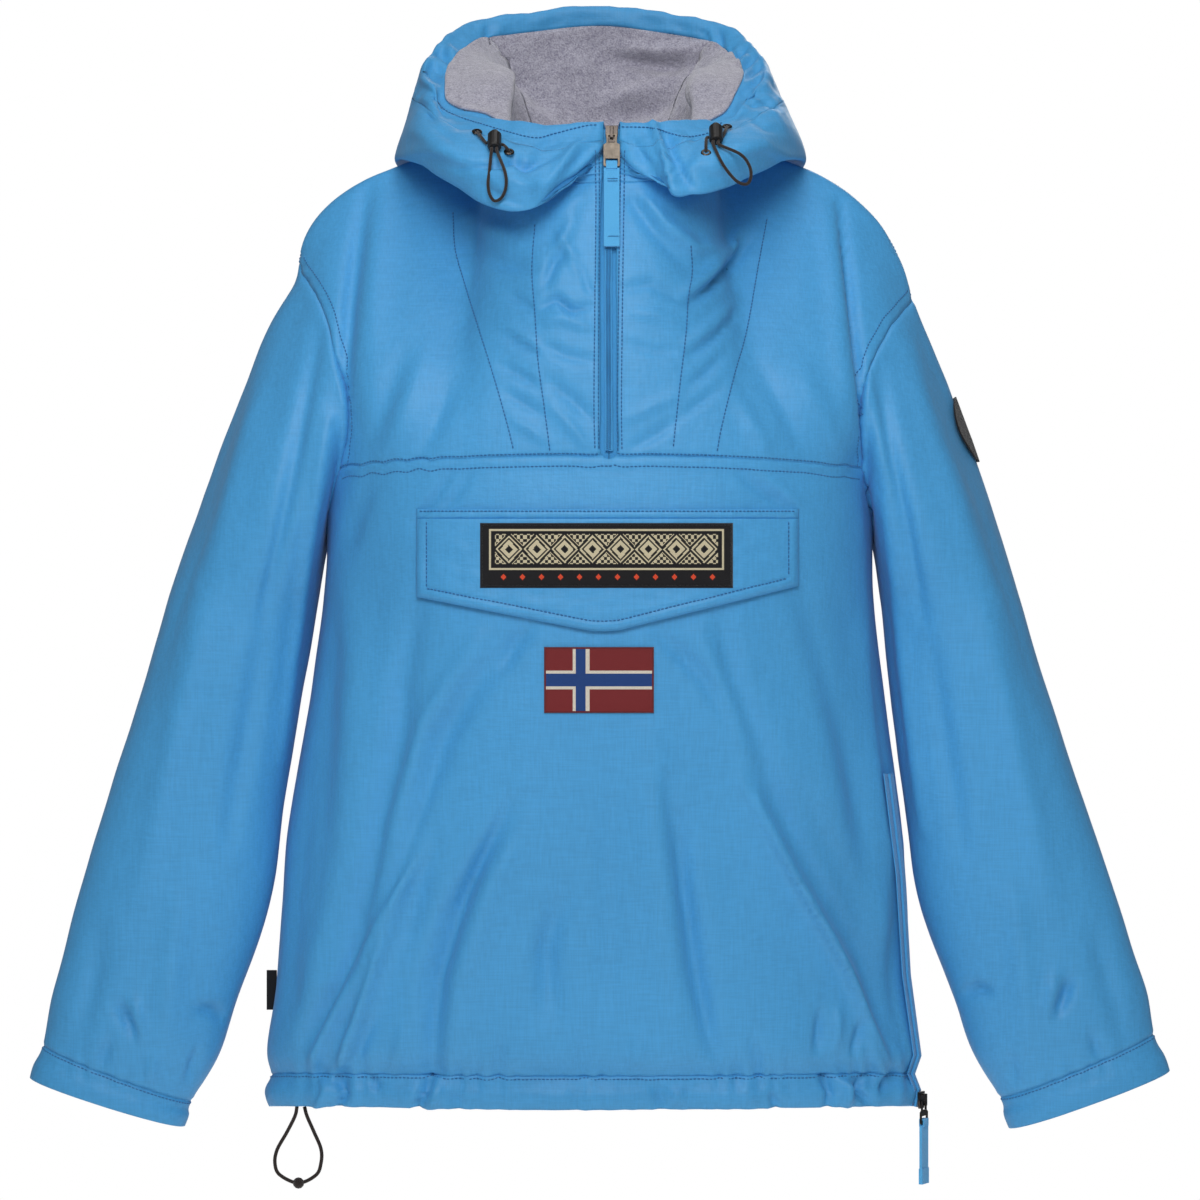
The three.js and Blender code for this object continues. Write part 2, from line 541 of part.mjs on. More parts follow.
// Sleeves: the armhole loop eased into rounded sections down to the cuff.
function sleeve(side) {
  const flat = SLEEVE[side].map(([row, col, half, deep, shift]) => [...sight(col, row), half, deep, shift]);
  const end = CUFF_END[side], tip = [...sight(end[1], end[0]), ...end.slice(2)];
  const all = [...flat, tip], lengths = [0];
  for (let i = 1; i < all.length; i++) lengths.push(lengths[i - 1] + size(less(all[i].slice(0, 3), all[i - 1].slice(0, 3))));
  const table = all.map((r, i) => [lengths[i], ...r]);
  const seam = lengths[flat.length - 1], stop = lengths[flat.length];
  const sign = side === "left" ? -1 : 1;
  const ring = (d, full = 0) => {
    const a = read(table, Math.max(0, d - 12)), b = read(table, Math.min(stop, d + 12)), c = read(table, d);
    const axis = unit(less(b.slice(0, 3), a.slice(0, 3)));
    const out = unit([sign * -axis[2], 0, sign * axis[0]]);
    const points = [];
    for (let i = 0; i < SLEEVE_AROUND; i++) {
      const f = (2 * Math.PI * i) / SLEEVE_AROUND, k = 2 / 2.15;
      const cx = Math.sign(Math.cos(f)) * Math.abs(Math.cos(f)) ** k, sy = Math.sign(Math.sin(f)) * Math.abs(Math.sin(f)) ** k;
      points.push(plus([c[0], c[5], c[2]], [out[0] * cx * (c[3] + full), -sy * (c[4] + full), out[2] * cx * (c[3] + full)]));
    }
    return points;
  };
  const loop = holes[side].loop, first = ring(0), rows = [];
  for (let j = 0; j < SLEEVE_BLEND; j++) {
    const t = j / SLEEVE_BLEND;
    rows.push(loop.map((p, i) => {
      const f = (2 * Math.PI * i) / SLEEVE_AROUND, full = 4 * t * (1 - t);
      const q = mix(p, first[i], t), out = Math.max(0, Math.cos(f));
      return [q[0] + sign * full * (3.5 * out), q[1] - full * 9 * Math.sin(f), q[2] + full * 2 * out];
    }));
  }
  for (let j = 0; j <= SLEEVE_RUN; j++) {
    const d = (seam * j) / SLEEVE_RUN;
    rows.push(ring(d, j === SLEEVE_RUN ? -1.5 : j === SLEEVE_RUN - 1 ? 1 : 0));
  }
  const cuff = [rows[rows.length - 1], ring((seam + stop) / 2, 1), ring(stop, 0)];
  return { rows, cuff };
}
const arms = { left: sleeve("left"), right: sleeve("right") };
for (const side of ["left", "right"]) {
  sheet("sleeve_" + side, arms[side].rows, { wrap: true, flip: side === "left" });
  sheet("cuff_" + side, arms[side].cuff, { wrap: true, flip: side === "left", material: SHELL_DEEP });
}

// Hood: shell in three pieces, cord casing round the rim, lining in three pieces.
const around = [...hood.left.slice().reverse().map((h) => h)].reverse(); // zip to centre back, left side
const circle = [...hood.left, ...hood.right.slice(0, -1).reverse()]; // left zip edge round the back to the right zip edge
const CENTRE = 2; // stations each side of the centre back in the middle piece
const cut = (part, a, b) => circle.slice(a, b + 1);
const columns = (part, list) => list[0][part].map((_, j) => list.map((h) => h[part][j]));
const split = [0, around.length - 1 - CENTRE, around.length - 1 + CENTRE, circle.length - 1];
["left", "center", "right"].forEach((name, k) => {
  sheet("hood_" + name, columns("rows", cut("rows", split[k], split[k + 1])), { flip: true });
  sheet("hood_lining_" + name, columns("lining", cut("lining", split[k], split[k + 1])), { flip: true, wall: FLEECE, material: FLEECED });
});
sheet("hood_rim", columns("rim", circle), { flip: true, wall: 2.2, material: SHELL_DEEP });

weld();
for (const s of sheets) add(s.name, build(s), s.material);
const byName = Object.fromEntries(sheets.map((s) => [s.name, s]));


// A trim piece from two grids of points, its outer and its inner face.
function slab(name, outer, inner, material, { wrap = false, flip = false } = {}) {
  const s = { name, grid: outer, outer, inner, wrap, flip };
  s.triangles = trianglesOf(s);
  byName[name] = s;
  return add(name, close(s), material);
}
// The first facet of the named pieces that a line meets.
function meet(from, along, names) {
  let best = null;
  for (const name of names) {
    const s = byName[name];
    for (const t of s.triangles) {
      const [a, b, c] = t.map(([r, q]) => s.outer[r][q]);
      const e1 = less(b, a), e2 = less(c, a), h = cross(along, e2), det = dot(e1, h);
      if (Math.abs(det) < 1e-9) continue;
      const f = less(from, a), u = dot(f, h) / det, w = cross(f, e1), v = dot(along, w) / det;
      if (u < -1e-6 || v < -1e-6 || u + v > 1 + 1e-6) continue;
      const d = dot(e2, w) / det;
      if (d > 0 && (!best || d < best.d)) best = { d, p: plus(from, along, d), n: unit(cross(e1, e2)) };
    }
  }
  return best;
}
function look(px, py, names) {
  const hit = meet(EYE, unit(less(sight(px, py), EYE)), names);
  if (hit && dot(hit.n, less(EYE, hit.p)) < 0) hit.n = hit.n.map((v) => -v);
  return hit;
}
const toEye = (p, k) => plus(p, unit(less(EYE, p)), k);

// Pocket flap under a narrow welt, with a shallow point at its lower edge.
const FLAP = { left: 416, right: 799, point: 605, top: 509, welt: 519.6, low: [597, 634, 586] };
const FLAP_THICK = 3.2;
const FLAP_LIFT = 3;
const flapX = [];
for (let i = 0; i <= 12; i++)
  flapX.push(i <= 6 ? FLAP.left + ((FLAP.point - FLAP.left) * i) / 6 : FLAP.point + ((FLAP.right - FLAP.point) * (i - 6)) / 6);
const flapLow = (x) => (x <= FLAP.point
  ? FLAP.low[0] + ((FLAP.low[1] - FLAP.low[0]) * (x - FLAP.left)) / (FLAP.point - FLAP.left)
  : FLAP.low[1] + ((FLAP.low[2] - FLAP.low[1]) * (x - FLAP.point)) / (FLAP.right - FLAP.point));
function laid(name, rows, onto, off, thick, material) {
  const under = rows.map((r, j) => r.map(([x, y], i) => toEye(look(x, y, onto).p, off(i, j))));
  slab(name, under.map((r) => r.map((p) => toEye(p, thick))), under, material);
}
laid("flap_welt", [FLAP.welt, FLAP.top].map((y) => flapX.map((x) => [x, y])), ["front_lower"], () => REST + 0.5, 3, SHELL);
const FLAP_ROWS = 4;
const flapGrid = [];
for (let j = FLAP_ROWS; j >= 0; j--)
  flapGrid.push(flapX.map((x) => [x, FLAP.welt + 0.5 + ((flapLow(x) - FLAP.welt - 0.5) * j) / FLAP_ROWS]));
laid("pocket_flap", flapGrid, ["front_lower"], (i, j) => REST + 0.5 + FLAP_LIFT * ((FLAP_ROWS - j) / FLAP_ROWS) ** 2, FLAP_THICK, SHELL);

// Woven panel on the flap and the flag below it.
const PANEL = { x: [480, ...flapX.filter((x) => x > 484 && x < 729), 733], y: [588, 566, 545, 523] };
laid("woven_panel", PANEL.y.map((y) => PANEL.x.map((x) => [x, y])), ["pocket_flap"], () => 0.5, 1.2, WOVEN_BLACK);
const FLAG = { x: [544, 571.5, 599, 626.5, 654], y: [713, 691, 669, 647] };
laid("flag_patch", FLAG.y.map((y) => FLAG.x.map((x) => [x, y])), ["front_lower"], () => REST, 1.5, WOVEN_RED);

// Loop label in the side seam.
const LABEL = { z: -616, out: 8, tall: 31, thick: 1.2 };
{
  const side = body(LABEL.z, -1, false), g = new THREE.BoxGeometry(LABEL.out, LABEL.thick, LABEL.tall);
  add("side_label", g, WOVEN_BLACK).position.set(side[0] - LABEL.out / 2 - 3, -1, LABEL.z);
}

// Round badge on the outer side of the sleeve.
const BADGE = { at: [965.5, 430], radius: 27, thick: 1.4, off: 1.4 };
{
  const down = unit([23, 0, -68]), out = [-down[2], 0, down[0]], c = sight(...BADGE.at);
  const outer = [], inner = [];
  for (let j = 0; j <= 6; j++) {
    outer.push([]);
    inner.push([]);
    for (let i = 0; i <= 6; i++) {
      const u = i / 3 - 1, v = 1 - j / 3;
      const a = u * Math.sqrt(1 - (v * v) / 2) * BADGE.radius, b = -v * Math.sqrt(1 - (u * u) / 2) * BADGE.radius;
      const from = plus(plus(plus(c, [0, 1, 0], a), down, b), out, 80);
      const p = meet(from, out.map((k) => -k), ["sleeve_right"]).p;
      inner[j].push(plus(p, out, BADGE.off));
      outer[j].push(plus(p, out, BADGE.off + BADGE.thick));
    }
  }
  slab("sleeve_badge", outer, inner, WOVEN_BLACK, { flip: true });
}

// Half zip: two tapes behind the slot and the closed chain in it.
const zipLine = (lo, hi, steps) => Array.from({ length: steps + 1 }, (_, j) => lo + ((hi - lo) * j) / steps);
function zipStrip(name, lo, hi, dx, depth, thick, material, steps = 12) {
  const at = (d) => zipLine(lo, hi, steps).map((z) => dx.map((x) => [zipX(z) + x, zipY(z) + d, z]));
  slab(name, at(depth), at(depth + thick), material);
}
zipStrip("zip_tape_left", -214, 43, [-9.5, -0.2], 3.5, 0.8, TAPE);
zipStrip("zip_tape_right", -214, 43, [0.2, 9.5], 3.5, 0.8, TAPE);
zipStrip("zip_chain", -201, 43, [-2.8, 2.8], 0.8, 2.4, SHELL_DEEP);

// Joins closed geometries into one solid.
function join(first, ...rest) {
  const solid = (g) => {
    const bare = g.index ? g.toNonIndexed() : g.clone();
    for (const n of ["normal", "uv"]) bare.deleteAttribute(n);
    const m = mergeVertices(bare, 1e-4);
    return new wasm.Manifold(new wasm.Mesh({ numProp: 3, vertProperties: m.attributes.position.array, triVerts: new Uint32Array(m.index.array) }));
  };
  let all = solid(first);
  for (const g of rest) all = all.add(solid(g));
  const mesh = all.getMesh(), g = new THREE.BufferGeometry();
  g.setAttribute("position", new THREE.BufferAttribute(mesh.vertProperties, 3));
  g.setIndex(new THREE.BufferAttribute(mesh.triVerts, 1));
  return g;
}
const box = (w, d, h, x = 0, y = 0, z = 0) => new THREE.BoxGeometry(w, d, h).translate(x, y, z);
function plate(points, holes, depth) {
  const shape = new THREE.Shape(points.map(([x, y]) => new THREE.Vector2(x, y)));
  for (const h of holes) shape.holes.push(new THREE.Path(h.map(([x, y]) => new THREE.Vector2(x, y))));
  // Drawn in x and z, as thick as depth, centred on y = 0.
  return new THREE.ExtrudeGeometry(shape, { depth, bevelEnabled: false }).translate(0, 0, -depth / 2).rotateX(Math.PI / 2);
}

// Slider with its arch, metal pull and webbing tab. Local -Y is away from the cloth.
const PULL = { pivotY: -3.2, pivotZ: -1.6, width: 12.4, length: 25, thick: 1.5 };
function slider(name, group) {
  const body = plate([[-3.4, -7], [3.4, -7], [4.7, -1], [4.7, 6], [-4.7, 6], [-4.7, -1]], [], 2).translate(0, -0.9, 0);
  const arch = join(
    box(2.4, 4.6, 1.6, 0, -3.4, -3.8), box(2.4, 4.6, 1.6, 0, -3.4, 3.8), box(2.4, 1.2, 9.2, 0, -5.1, 0));
  const mesh = new THREE.Mesh(join(body, arch), GUNMETAL);
  mesh.name = name;
  group.add(mesh);
}
function pull(name, group, length) {
  const w = PULL.width / 2, top = 0.75, hole = 5.6;
  const outline = [[-4, top], [4, top], [4, -hole - 1], [w, -hole - 2.4], [w, -length + 0.8], [w - 0.8, -length], [-w + 0.8, -length], [-w, -length + 0.8], [-w, -hole - 2.4], [-4, -hole - 1]];
  const mesh = new THREE.Mesh(plate(outline, [
    [[-2.5, -0.75], [-2.5, -hole - 0.75], [2.5, -hole - 0.75], [2.5, -0.75]],
    [[-4.6, -length + 6], [-4.6, -length + 2.2], [4.6, -length + 2.2], [4.6, -length + 6]],
  ], PULL.thick), NICKEL);
  mesh.name = name;
  group.add(mesh);
}
function tab(name, group, length, run) {
  // The webbing goes round the pull's lower bar and hangs below it.
  const lo = -length, loop = [
    box(8.4, 1, 6, 0, -1.6, lo + 1), box(8.4, 1, 6, 0, 1.6, lo + 1),
    box(8.4, 4.2, 1, 0, 0, lo + 3.5), box(8.4, 4.2, 1.4, 0, 0, lo - 1.3)];
  const strap = box(11.6, 2.2, run, 0, 0, lo - 1.4 - run / 2), end = box(11.8, 3.2, 12, 0, 0, lo - 1.4 - run - 3);
  const mesh = new THREE.Mesh(join(...loop, strap, end), SHELL_DEEP);
  mesh.name = name;
  group.add(mesh);
}
const zipGroup = (prefix, at, out, lean, pullLean, length, run) => {
  const frame = new THREE.Group();
  frame.position.set(...at);
  frame.rotation.order = "ZXY";
  frame.rotation.z = Math.atan2(out[0], -out[1]);
  frame.rotation.x = -lean;
  slider(prefix + "_slider", frame);
  const hang = new THREE.Group();
  hang.position.set(0, PULL.pivotY, PULL.pivotZ);
  hang.rotation.x = lean - pullLean;
  pull(prefix + "_pull", hang, length);
  tab(prefix + "_tab", hang, length, run);
  frame.add(hang);
  object.add(frame);
};
const SLIDER_Z = 39;
zipGroup("zip", [zipX(SLIDER_Z), zipY(SLIDER_Z) + 0.1, SLIDER_Z], [0, -1], 0.2, 0.19, PULL.length, 52);

// Side zip beside the side seam, from the hem up, with its slider at the bottom.
const SIDE_COL = FRONT_STEPS - 2, SIDE_TOP = 8;
{
  const rows = [hemFront[0], hemFront[1], ...frontGrid.slice(0, SIDE_TOP)];
  const strip = (name, a, b, off, thick, material, from = 0) => {
    const at = (k) => rows.slice(from).map((row) => [a, b].map((t) => {
      const p = row[SIDE_COL], q = row[SIDE_COL + 1];
      return plus(mix(p, q, t), unit(plus(places.get(key(p)), places.get(key(q)))), k);
    }));
    slab(name, at(off + thick), at(off), material);
  };
  strip("side_zip_tape", 0.04, 0.96, REST + 0.1, 0.9, TAPE);
  strip("side_zip_chain", 0.33, 0.67, REST + 1.4, 2, SHELL_DEEP);
  const p = mix(hemFront[0][SIDE_COL], hemFront[0][SIDE_COL + 1], 0.5), out = unit(places.get(key(hemFront[1][SIDE_COL])));
  const q = mix(hemFront[1][SIDE_COL], hemFront[1][SIDE_COL + 1], 0.5);
  const at = plus(mix(p, q, 0.45), [out[0], out[1], 0], REST + 4.9);
  zipGroup("side_zip", at, out, 0, 0, 17, 36);
}

// Cords: round tubes with eight sides.
function cord(name, points, radius, step = 5) {
  const path = curveOf(points), ring = new THREE.Shape();
  for (let i = 0; i < 8; i++) {
    const a = (Math.PI * i) / 4, x = radius * Math.cos(a), y = radius * Math.sin(a);
    if (i) ring.lineTo(x, y);
    else ring.moveTo(x, y);
  }
  ring.closePath();
  const steps = Math.max(2, Math.round(path.getLength() / step));
  return add(name, new THREE.ExtrudeGeometry(ring, { extrudePath: path, steps, bevelEnabled: false }), CORD_DARK);
}
const HOOD_CORD = 1.2; // radius
const HEM_CORD = 1.4;
const LOOP_OFF = 5.6;
const LOCK = { radius: 5.2, tall: 15, bore: 3.4, deep: 5, button: 2.8, lean: 0.72 };
const EYELET = { outer: 4, inner: 2, thick: 1.4 };
const TOGGLES = {
  left: { off: 13.2, eyelets: [[477, 133], [509, 153]], lock: [494.5, 141], loop: [[493, 156], [489.5, 170], [488, 184], [490, 195], [495, 201], [502, 197], [506, 186], [505, 172], [499, 156]] },
  right: { off: 15.5, eyelets: [[727, 128], [706, 154]], lock: [716, 134], loop: [[717, 148], [721, 161], [729, 173], [738, 182], [747, 184], [751, 176], [749, 165], [740, 154], [722, 147]] },
};
for (const side of ["left", "right"]) {
  const t = TOGGLES[side], onto = ["hood_" + side, "hood_rim"];
  const lockHit = look(...t.lock, onto), centre = toEye(lockHit.p, t.off);
  const axis = [0, Math.sin(LOCK.lean), Math.cos(LOCK.lean)];
  const profile = [[0, -LOCK.tall / 2], [LOCK.radius - 1, -LOCK.tall / 2], [LOCK.radius, -LOCK.tall / 2 + 1], [LOCK.radius, LOCK.tall / 2 - 1],
    [LOCK.radius - 1, LOCK.tall / 2], [LOCK.bore, LOCK.tall / 2], [LOCK.bore, LOCK.tall / 2 - LOCK.deep], [0, LOCK.tall / 2 - LOCK.deep]];
  const lathe = (pts, n = 16) => new THREE.LatheGeometry(pts.map(([x, y]) => new THREE.Vector2(x, y)), n).rotateX(Math.PI / 2);
  const lock = new THREE.Group();
  lock.position.set(...centre);
  lock.rotation.x = -LOCK.lean;
  const bodyMesh = new THREE.Mesh(lathe(profile), PLASTIC), top = LOCK.tall / 2, r = LOCK.bore - 0.3;
  bodyMesh.name = "cord_lock_" + side;
  const knob = new THREE.Mesh(lathe([[0, top - LOCK.deep + 0.3], [r, top - LOCK.deep + 0.3], [r, top + LOCK.button - 0.6], [r - 0.6, top + LOCK.button], [0, top + LOCK.button]]), PLASTIC);
  knob.name = "cord_lock_button_" + side;
  lock.add(bodyMesh, knob);
  object.add(lock);
  t.eyelets.forEach(([x, y], k) => {
    const hit = look(x, y, onto);
    const ring = lathe([[EYELET.inner, 0], [EYELET.outer, 0], [EYELET.outer, EYELET.thick * 0.5], [EYELET.outer - 0.8, EYELET.thick], [EYELET.inner, EYELET.thick], [EYELET.inner, 0]], 14);
    const mesh = add(`eyelet_${side}_${k + 1}`, ring, GUNMETAL);
    mesh.quaternion.setFromUnitVectors(new THREE.Vector3(0, 0, 1), v3(hit.n));
    mesh.position.set(...plus(hit.p, hit.n, 0.75));
    const start = plus(hit.p, hit.n, 0.7), lift = plus(hit.p, hit.n, 5);
    const aside = less(lift, centre), away = unit(plus(aside, axis, -dot(aside, axis)));
    const port = plus(plus(centre, away, LOCK.radius + 0.45), axis, 3 - 4 * k);
    const near = plus(port, away, 2.2);
    cord(`hood_cord_${side}_${k + 1}`, [start, lift, near, port], HOOD_CORD, 4);
  });
  // The loop lies on the cloth below the lock: each strand keeps in front of all that it passes.
  const bottom = (dx) => plus(plus(centre, [dx, 0, 0]), axis, -(LOCK.tall / 2 + 0.35));
  const deepest = (list) => {
    let y = bottom(0)[1] - 1;
    return list.map(([px, py]) => {
      const hit = look(px, py, onto);
      if (hit) y = Math.min(y, hit.p[1] - LOOP_OFF);
      return y;
    });
  };
  const mid = t.loop.slice(1, -1), half = Math.ceil(mid.length / 2);
  const y1 = deepest(mid.slice(0, half)), y2 = deepest(mid.slice(half - 1).reverse()).reverse().slice(1);
  const points = mid.map(([px, py], k) => sight(px, py, k < half ? y1[k] : y2[k - half]));
  cord("hood_cord_loop_" + side, [bottom(-2), plus(bottom(-2.1), axis, -3), ...points, plus(bottom(2.1), axis, -3), bottom(2)], HOOD_CORD, 4.5);
}
// Hem cord: a loop out of the hem casing, knotted at its lower end.
{
  const y = -45, at = ([px, py]) => sight(px, py, y);
  const knot = at([298.5, 1183]), size3 = 4.4;
  const ball = new THREE.SphereGeometry(size3, 12, 8);
  add("hem_cord_knot", ball, CORD_DARK).position.set(...knot);
  const left = [[297, 1106.4], [295, 1116], [287, 1132], [277, 1150], [275, 1164], [280, 1175]].map(at);
  const right = [[304.5, 1106.7], [307, 1116], [314, 1132], [321, 1149], [321, 1163], [316, 1175]].map(at);
  const touch = (p) => plus(knot, unit(less(p, knot)), size3 + 0.35);
  cord("hem_cord_left", [...left, touch(left[5])], HEM_CORD, 5);
  cord("hem_cord_right", [...right, touch(right[5])], HEM_CORD, 5);
}

export default object;
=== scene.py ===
import math

import bmesh
import bpy
import numpy as np
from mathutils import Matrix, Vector
from mathutils.bvhtree import BVHTree
from mathutils.kdtree import KDTree
from mathutils import noise as mnoise

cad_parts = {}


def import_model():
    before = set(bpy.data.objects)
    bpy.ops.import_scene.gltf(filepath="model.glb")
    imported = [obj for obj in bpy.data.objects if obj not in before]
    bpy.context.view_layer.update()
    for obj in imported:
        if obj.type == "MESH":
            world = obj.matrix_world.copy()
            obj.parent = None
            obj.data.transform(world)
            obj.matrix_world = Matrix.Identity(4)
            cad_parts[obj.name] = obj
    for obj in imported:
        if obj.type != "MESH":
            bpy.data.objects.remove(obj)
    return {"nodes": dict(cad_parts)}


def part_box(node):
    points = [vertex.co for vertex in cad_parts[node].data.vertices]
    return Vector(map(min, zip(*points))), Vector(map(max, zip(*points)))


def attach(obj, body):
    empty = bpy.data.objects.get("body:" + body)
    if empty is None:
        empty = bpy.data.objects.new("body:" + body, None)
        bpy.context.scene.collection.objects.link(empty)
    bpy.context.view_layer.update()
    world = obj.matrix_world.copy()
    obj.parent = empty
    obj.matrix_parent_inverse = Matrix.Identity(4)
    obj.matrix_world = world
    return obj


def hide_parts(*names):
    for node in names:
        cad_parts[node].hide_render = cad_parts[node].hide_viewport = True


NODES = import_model()["nodes"]
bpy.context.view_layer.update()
BODY = "garment"
scene = bpy.context.scene

# ---------------------------------------------------------------- sighting grid
# A point is named by its place in the 1200 x 1200 view and by its depth.
EYE = Vector((0.0, -3.0, -0.312))
VIEW = 1200
UNIT = 0.00078                  # metres to one unit of the view, at the depth of the shoulders
MID_X, ORIGIN_Y = 600, 200      # where the origin is seen


def sight(px, py, y=0.0):
    k = (y - EYE.y) / -EYE.y
    return Vector(((px - MID_X) * UNIT * k, y, EYE.z + ((ORIGIN_Y - py) * UNIT - EYE.z) * k))


def seen(co):
    k = (co[:, 1] - EYE.y) / -EYE.y
    u = co[:, 0] / k / UNIT + MID_X
    v = ORIGIN_Y - ((co[:, 2] - EYE.z) / k + EYE.z) / UNIT
    return u, v


# ---------------------------------------------------------------- camera, light
SENSOR = 36                     # mm
cam_data = bpy.data.cameras.new("camera")
cam = bpy.data.objects.new("camera", cam_data)
scene.collection.objects.link(cam)
cam.location = EYE
cam.rotation_euler = (math.radians(90), 0, 0)
cam_data.sensor_width = SENSOR
cam_data.lens = SENSOR * -EYE.y / (VIEW * UNIT)
cam_data.clip_end = 60
scene.camera = cam
scene.view_settings.view_transform = "Standard"
scene.view_settings.look = "None"


def area_light(name, at, look_at, size, power):
    """A plain rectangular light, its power in watts."""
    data = bpy.data.lights.new(name, "AREA")
    data.shape, data.size, data.size_y = "RECTANGLE", size[0], size[1]
    data.energy = power
    ob = bpy.data.objects.new(name, data)
    ob.location = at
    ob.rotation_euler = (Vector(look_at) - Vector(at)).to_track_quat("-Z", "Y").to_euler()
    scene.collection.objects.link(ob)


area_light("key_light", (-0.12, -2.0, 0.85), (0, 0, -0.3), (1.2, 1.0), 30)
area_light("fill_light", (0.1, -2.6, -0.15), (0, 0, -0.05), (1.4, 0.8), 5)
area_light("top_light", (0.1, -0.5, 2.4), (0, 0, 0), (1.2, 1.2), 14)
area_light("back_light", (0.5, 2.9, 1.4), (0, 0, -0.3), (1.8, 1.8), 40)

world = bpy.data.worlds.new("studio")
scene.world = world
world.use_nodes = True
wt = world.node_tree
wt.nodes.clear()
w_out, w_mix, w_white, w_ambient, w_path = (wt.nodes.new("ShaderNode" + kind) for kind in (
    "OutputWorld", "MixShader", "Background", "Background", "LightPath"))
for node, color, strength in ((w_white, (1, 1, 1, 1), 1.0), (w_ambient, (0.95, 0.97, 1, 1), 0.13)):
    node.inputs["Color"].default_value = color
    node.inputs["Strength"].default_value = strength
for source, target in ((w_path.outputs["Is Camera Ray"], w_mix.inputs[0]), (w_ambient.outputs[0], w_mix.inputs[1]),
                       (w_white.outputs[0], w_mix.inputs[2]), (w_mix.outputs[0], w_out.inputs[0])):
    wt.links.new(source, target)


# ---------------------------------------------------------------- materials
def linear(hexed):
    """The linear colour of a hex one."""
    out = []
    for i in (0, 2, 4):
        c = int(hexed[i:i + 2], 16) / 255
        out.append(c / 12.92 if c <= 0.04045 else ((c + 0.055) / 1.055) ** 2.4)
    return (*out, 1.0)


class Nodes:
    """A small helper that adds and links shader nodes."""

    def __init__(self, name):
        self.mat = bpy.data.materials.new(name)
        self.mat.use_nodes = True
        self.tree = self.mat.node_tree
        self.bsdf = self.tree.nodes["Principled BSDF"]
        self.coord = self.tree.nodes.new("ShaderNodeTexCoord")

    def add(self, kind, links=None, **values):
        n = self.tree.nodes.new(kind)
        for k, v in values.items():
            if k in n.inputs:
                n.inputs[k].default_value = v
            else:
                setattr(n, k, v)
        for socket, source in (links or {}).items():
            self.tree.links.new(source, n.inputs[socket])
        return n

    def mapped(self, scale):
        links = {"Vector": self.coord.outputs["Object"]}
        return self.add("ShaderNodeMapping", links, Scale=scale).outputs[0]

    def noise(self, scale, stretch=(1, 1, 1), detail=2.0, rough=0.5):
        links = {"Vector": self.mapped(stretch)}
        return self.add("ShaderNodeTexNoise", links, Scale=scale, Detail=detail, Roughness=rough).outputs[0]

    def wave(self, scale, axis, stretch=(1, 1, 1), detail_scale=1.0):
        links = {"Vector": self.mapped(stretch)}
        return self.add("ShaderNodeTexWave", links, Scale=scale, Distortion=0.0, bands_direction=axis,
                        **{"Detail Scale": detail_scale}).outputs[1]

    def ramp(self, source, stops):
        n = self.add("ShaderNodeValToRGB", {0: source})
        el = n.color_ramp.elements
        el[0].position, el[0].color = stops[0]
        el[1].position, el[1].color = stops[-1]
        for pos, col in stops[1:-1]:
            e = el.new(pos)
            e.color = col
        return n.outputs[0]

    def math(self, op, a, b):
        n = self.add("ShaderNodeMath", operation=op)
        for i, v in enumerate((a, b)):
            if isinstance(v, (int, float)):
                n.inputs[i].default_value = v
            else:
                self.tree.links.new(v, n.inputs[i])
        return n.outputs[0]

    def mix(self, factor, a, b):
        n = self.tree.nodes.new("ShaderNodeMix")
        n.data_type, n.blend_type = "RGBA", "MIX"
        for socket, v in ((n.inputs[0], factor), (n.inputs[6], a), (n.inputs[7], b)):
            if isinstance(v, (int, float, tuple)):
                socket.default_value = v
            else:
                self.tree.links.new(v, socket)
        return n.outputs[2]

    def bump(self, height, strength, distance, after=None):
        links = {"Height": height}
        if after is not None:
            links["Normal"] = after
        return self.add("ShaderNodeBump", links, Strength=strength, Distance=distance).outputs[0]

    def done(self, color=None, rough=None, normal=None, **values):
        for socket, v in (("Base Color", color), ("Roughness", rough), ("Normal", normal)):
            if v is None:
                continue
            if isinstance(v, (int, float, tuple)):
                self.bsdf.inputs[socket].default_value = v
            else:
                self.tree.links.new(v, self.bsdf.inputs[socket])
        for k, v in values.items():
            self.bsdf.inputs[k].default_value = v
        return self.mat


def scaled(c, k):
    return (min(1, c[0] * k), min(1, c[1] * k), min(1, c[2] * k), 1.0)


def lustre(specular, sheen, sheen_rough=None):
    values = {"Specular IOR Level": specular, "Sheen Weight": sheen}
    return values if sheen_rough is None else {**values, "Sheen Roughness": sheen_rough}


def nylon(name, hexed, rough=0.5, crinkle=1.0):
    n = Nodes(name)
    base = linear(hexed)
    cloud = n.noise(7, detail=2)
    yarn_x = n.noise(900, (0.05, 0.4, 1), detail=1)
    yarn_z = n.noise(900, (1, 0.4, 0.05), detail=1)
    yarn = n.math("ADD", n.math("MULTIPLY", yarn_x, 0.5), n.math("MULTIPLY", yarn_z, 0.5))
    tone = n.ramp(cloud, [(0.3, scaled(base, 0.95)), (0.7, scaled(base, 1.05))])
    tone = n.mix(0.5, tone, n.ramp(yarn, [(0.35, scaled(base, 0.86)), (0.65, scaled(base, 1.12))]))
    weave = n.math("MULTIPLY", n.wave(520, "X"), n.wave(520, "Z"))
    low = n.noise(62, detail=4, rough=0.6)
    fine = n.noise(210, detail=3, rough=0.6)
    b = n.bump(low, 0.22 * crinkle, 0.004)
    b = n.bump(fine, 0.16 * crinkle, 0.0012, b)
    b = n.bump(weave, 0.12, 0.0002, b)
    r = n.math("ADD", n.math("MULTIPLY", fine, 0.14), rough - 0.07)
    return n.done(tone, r, b, **lustre(0.34, 0.07, 0.45))


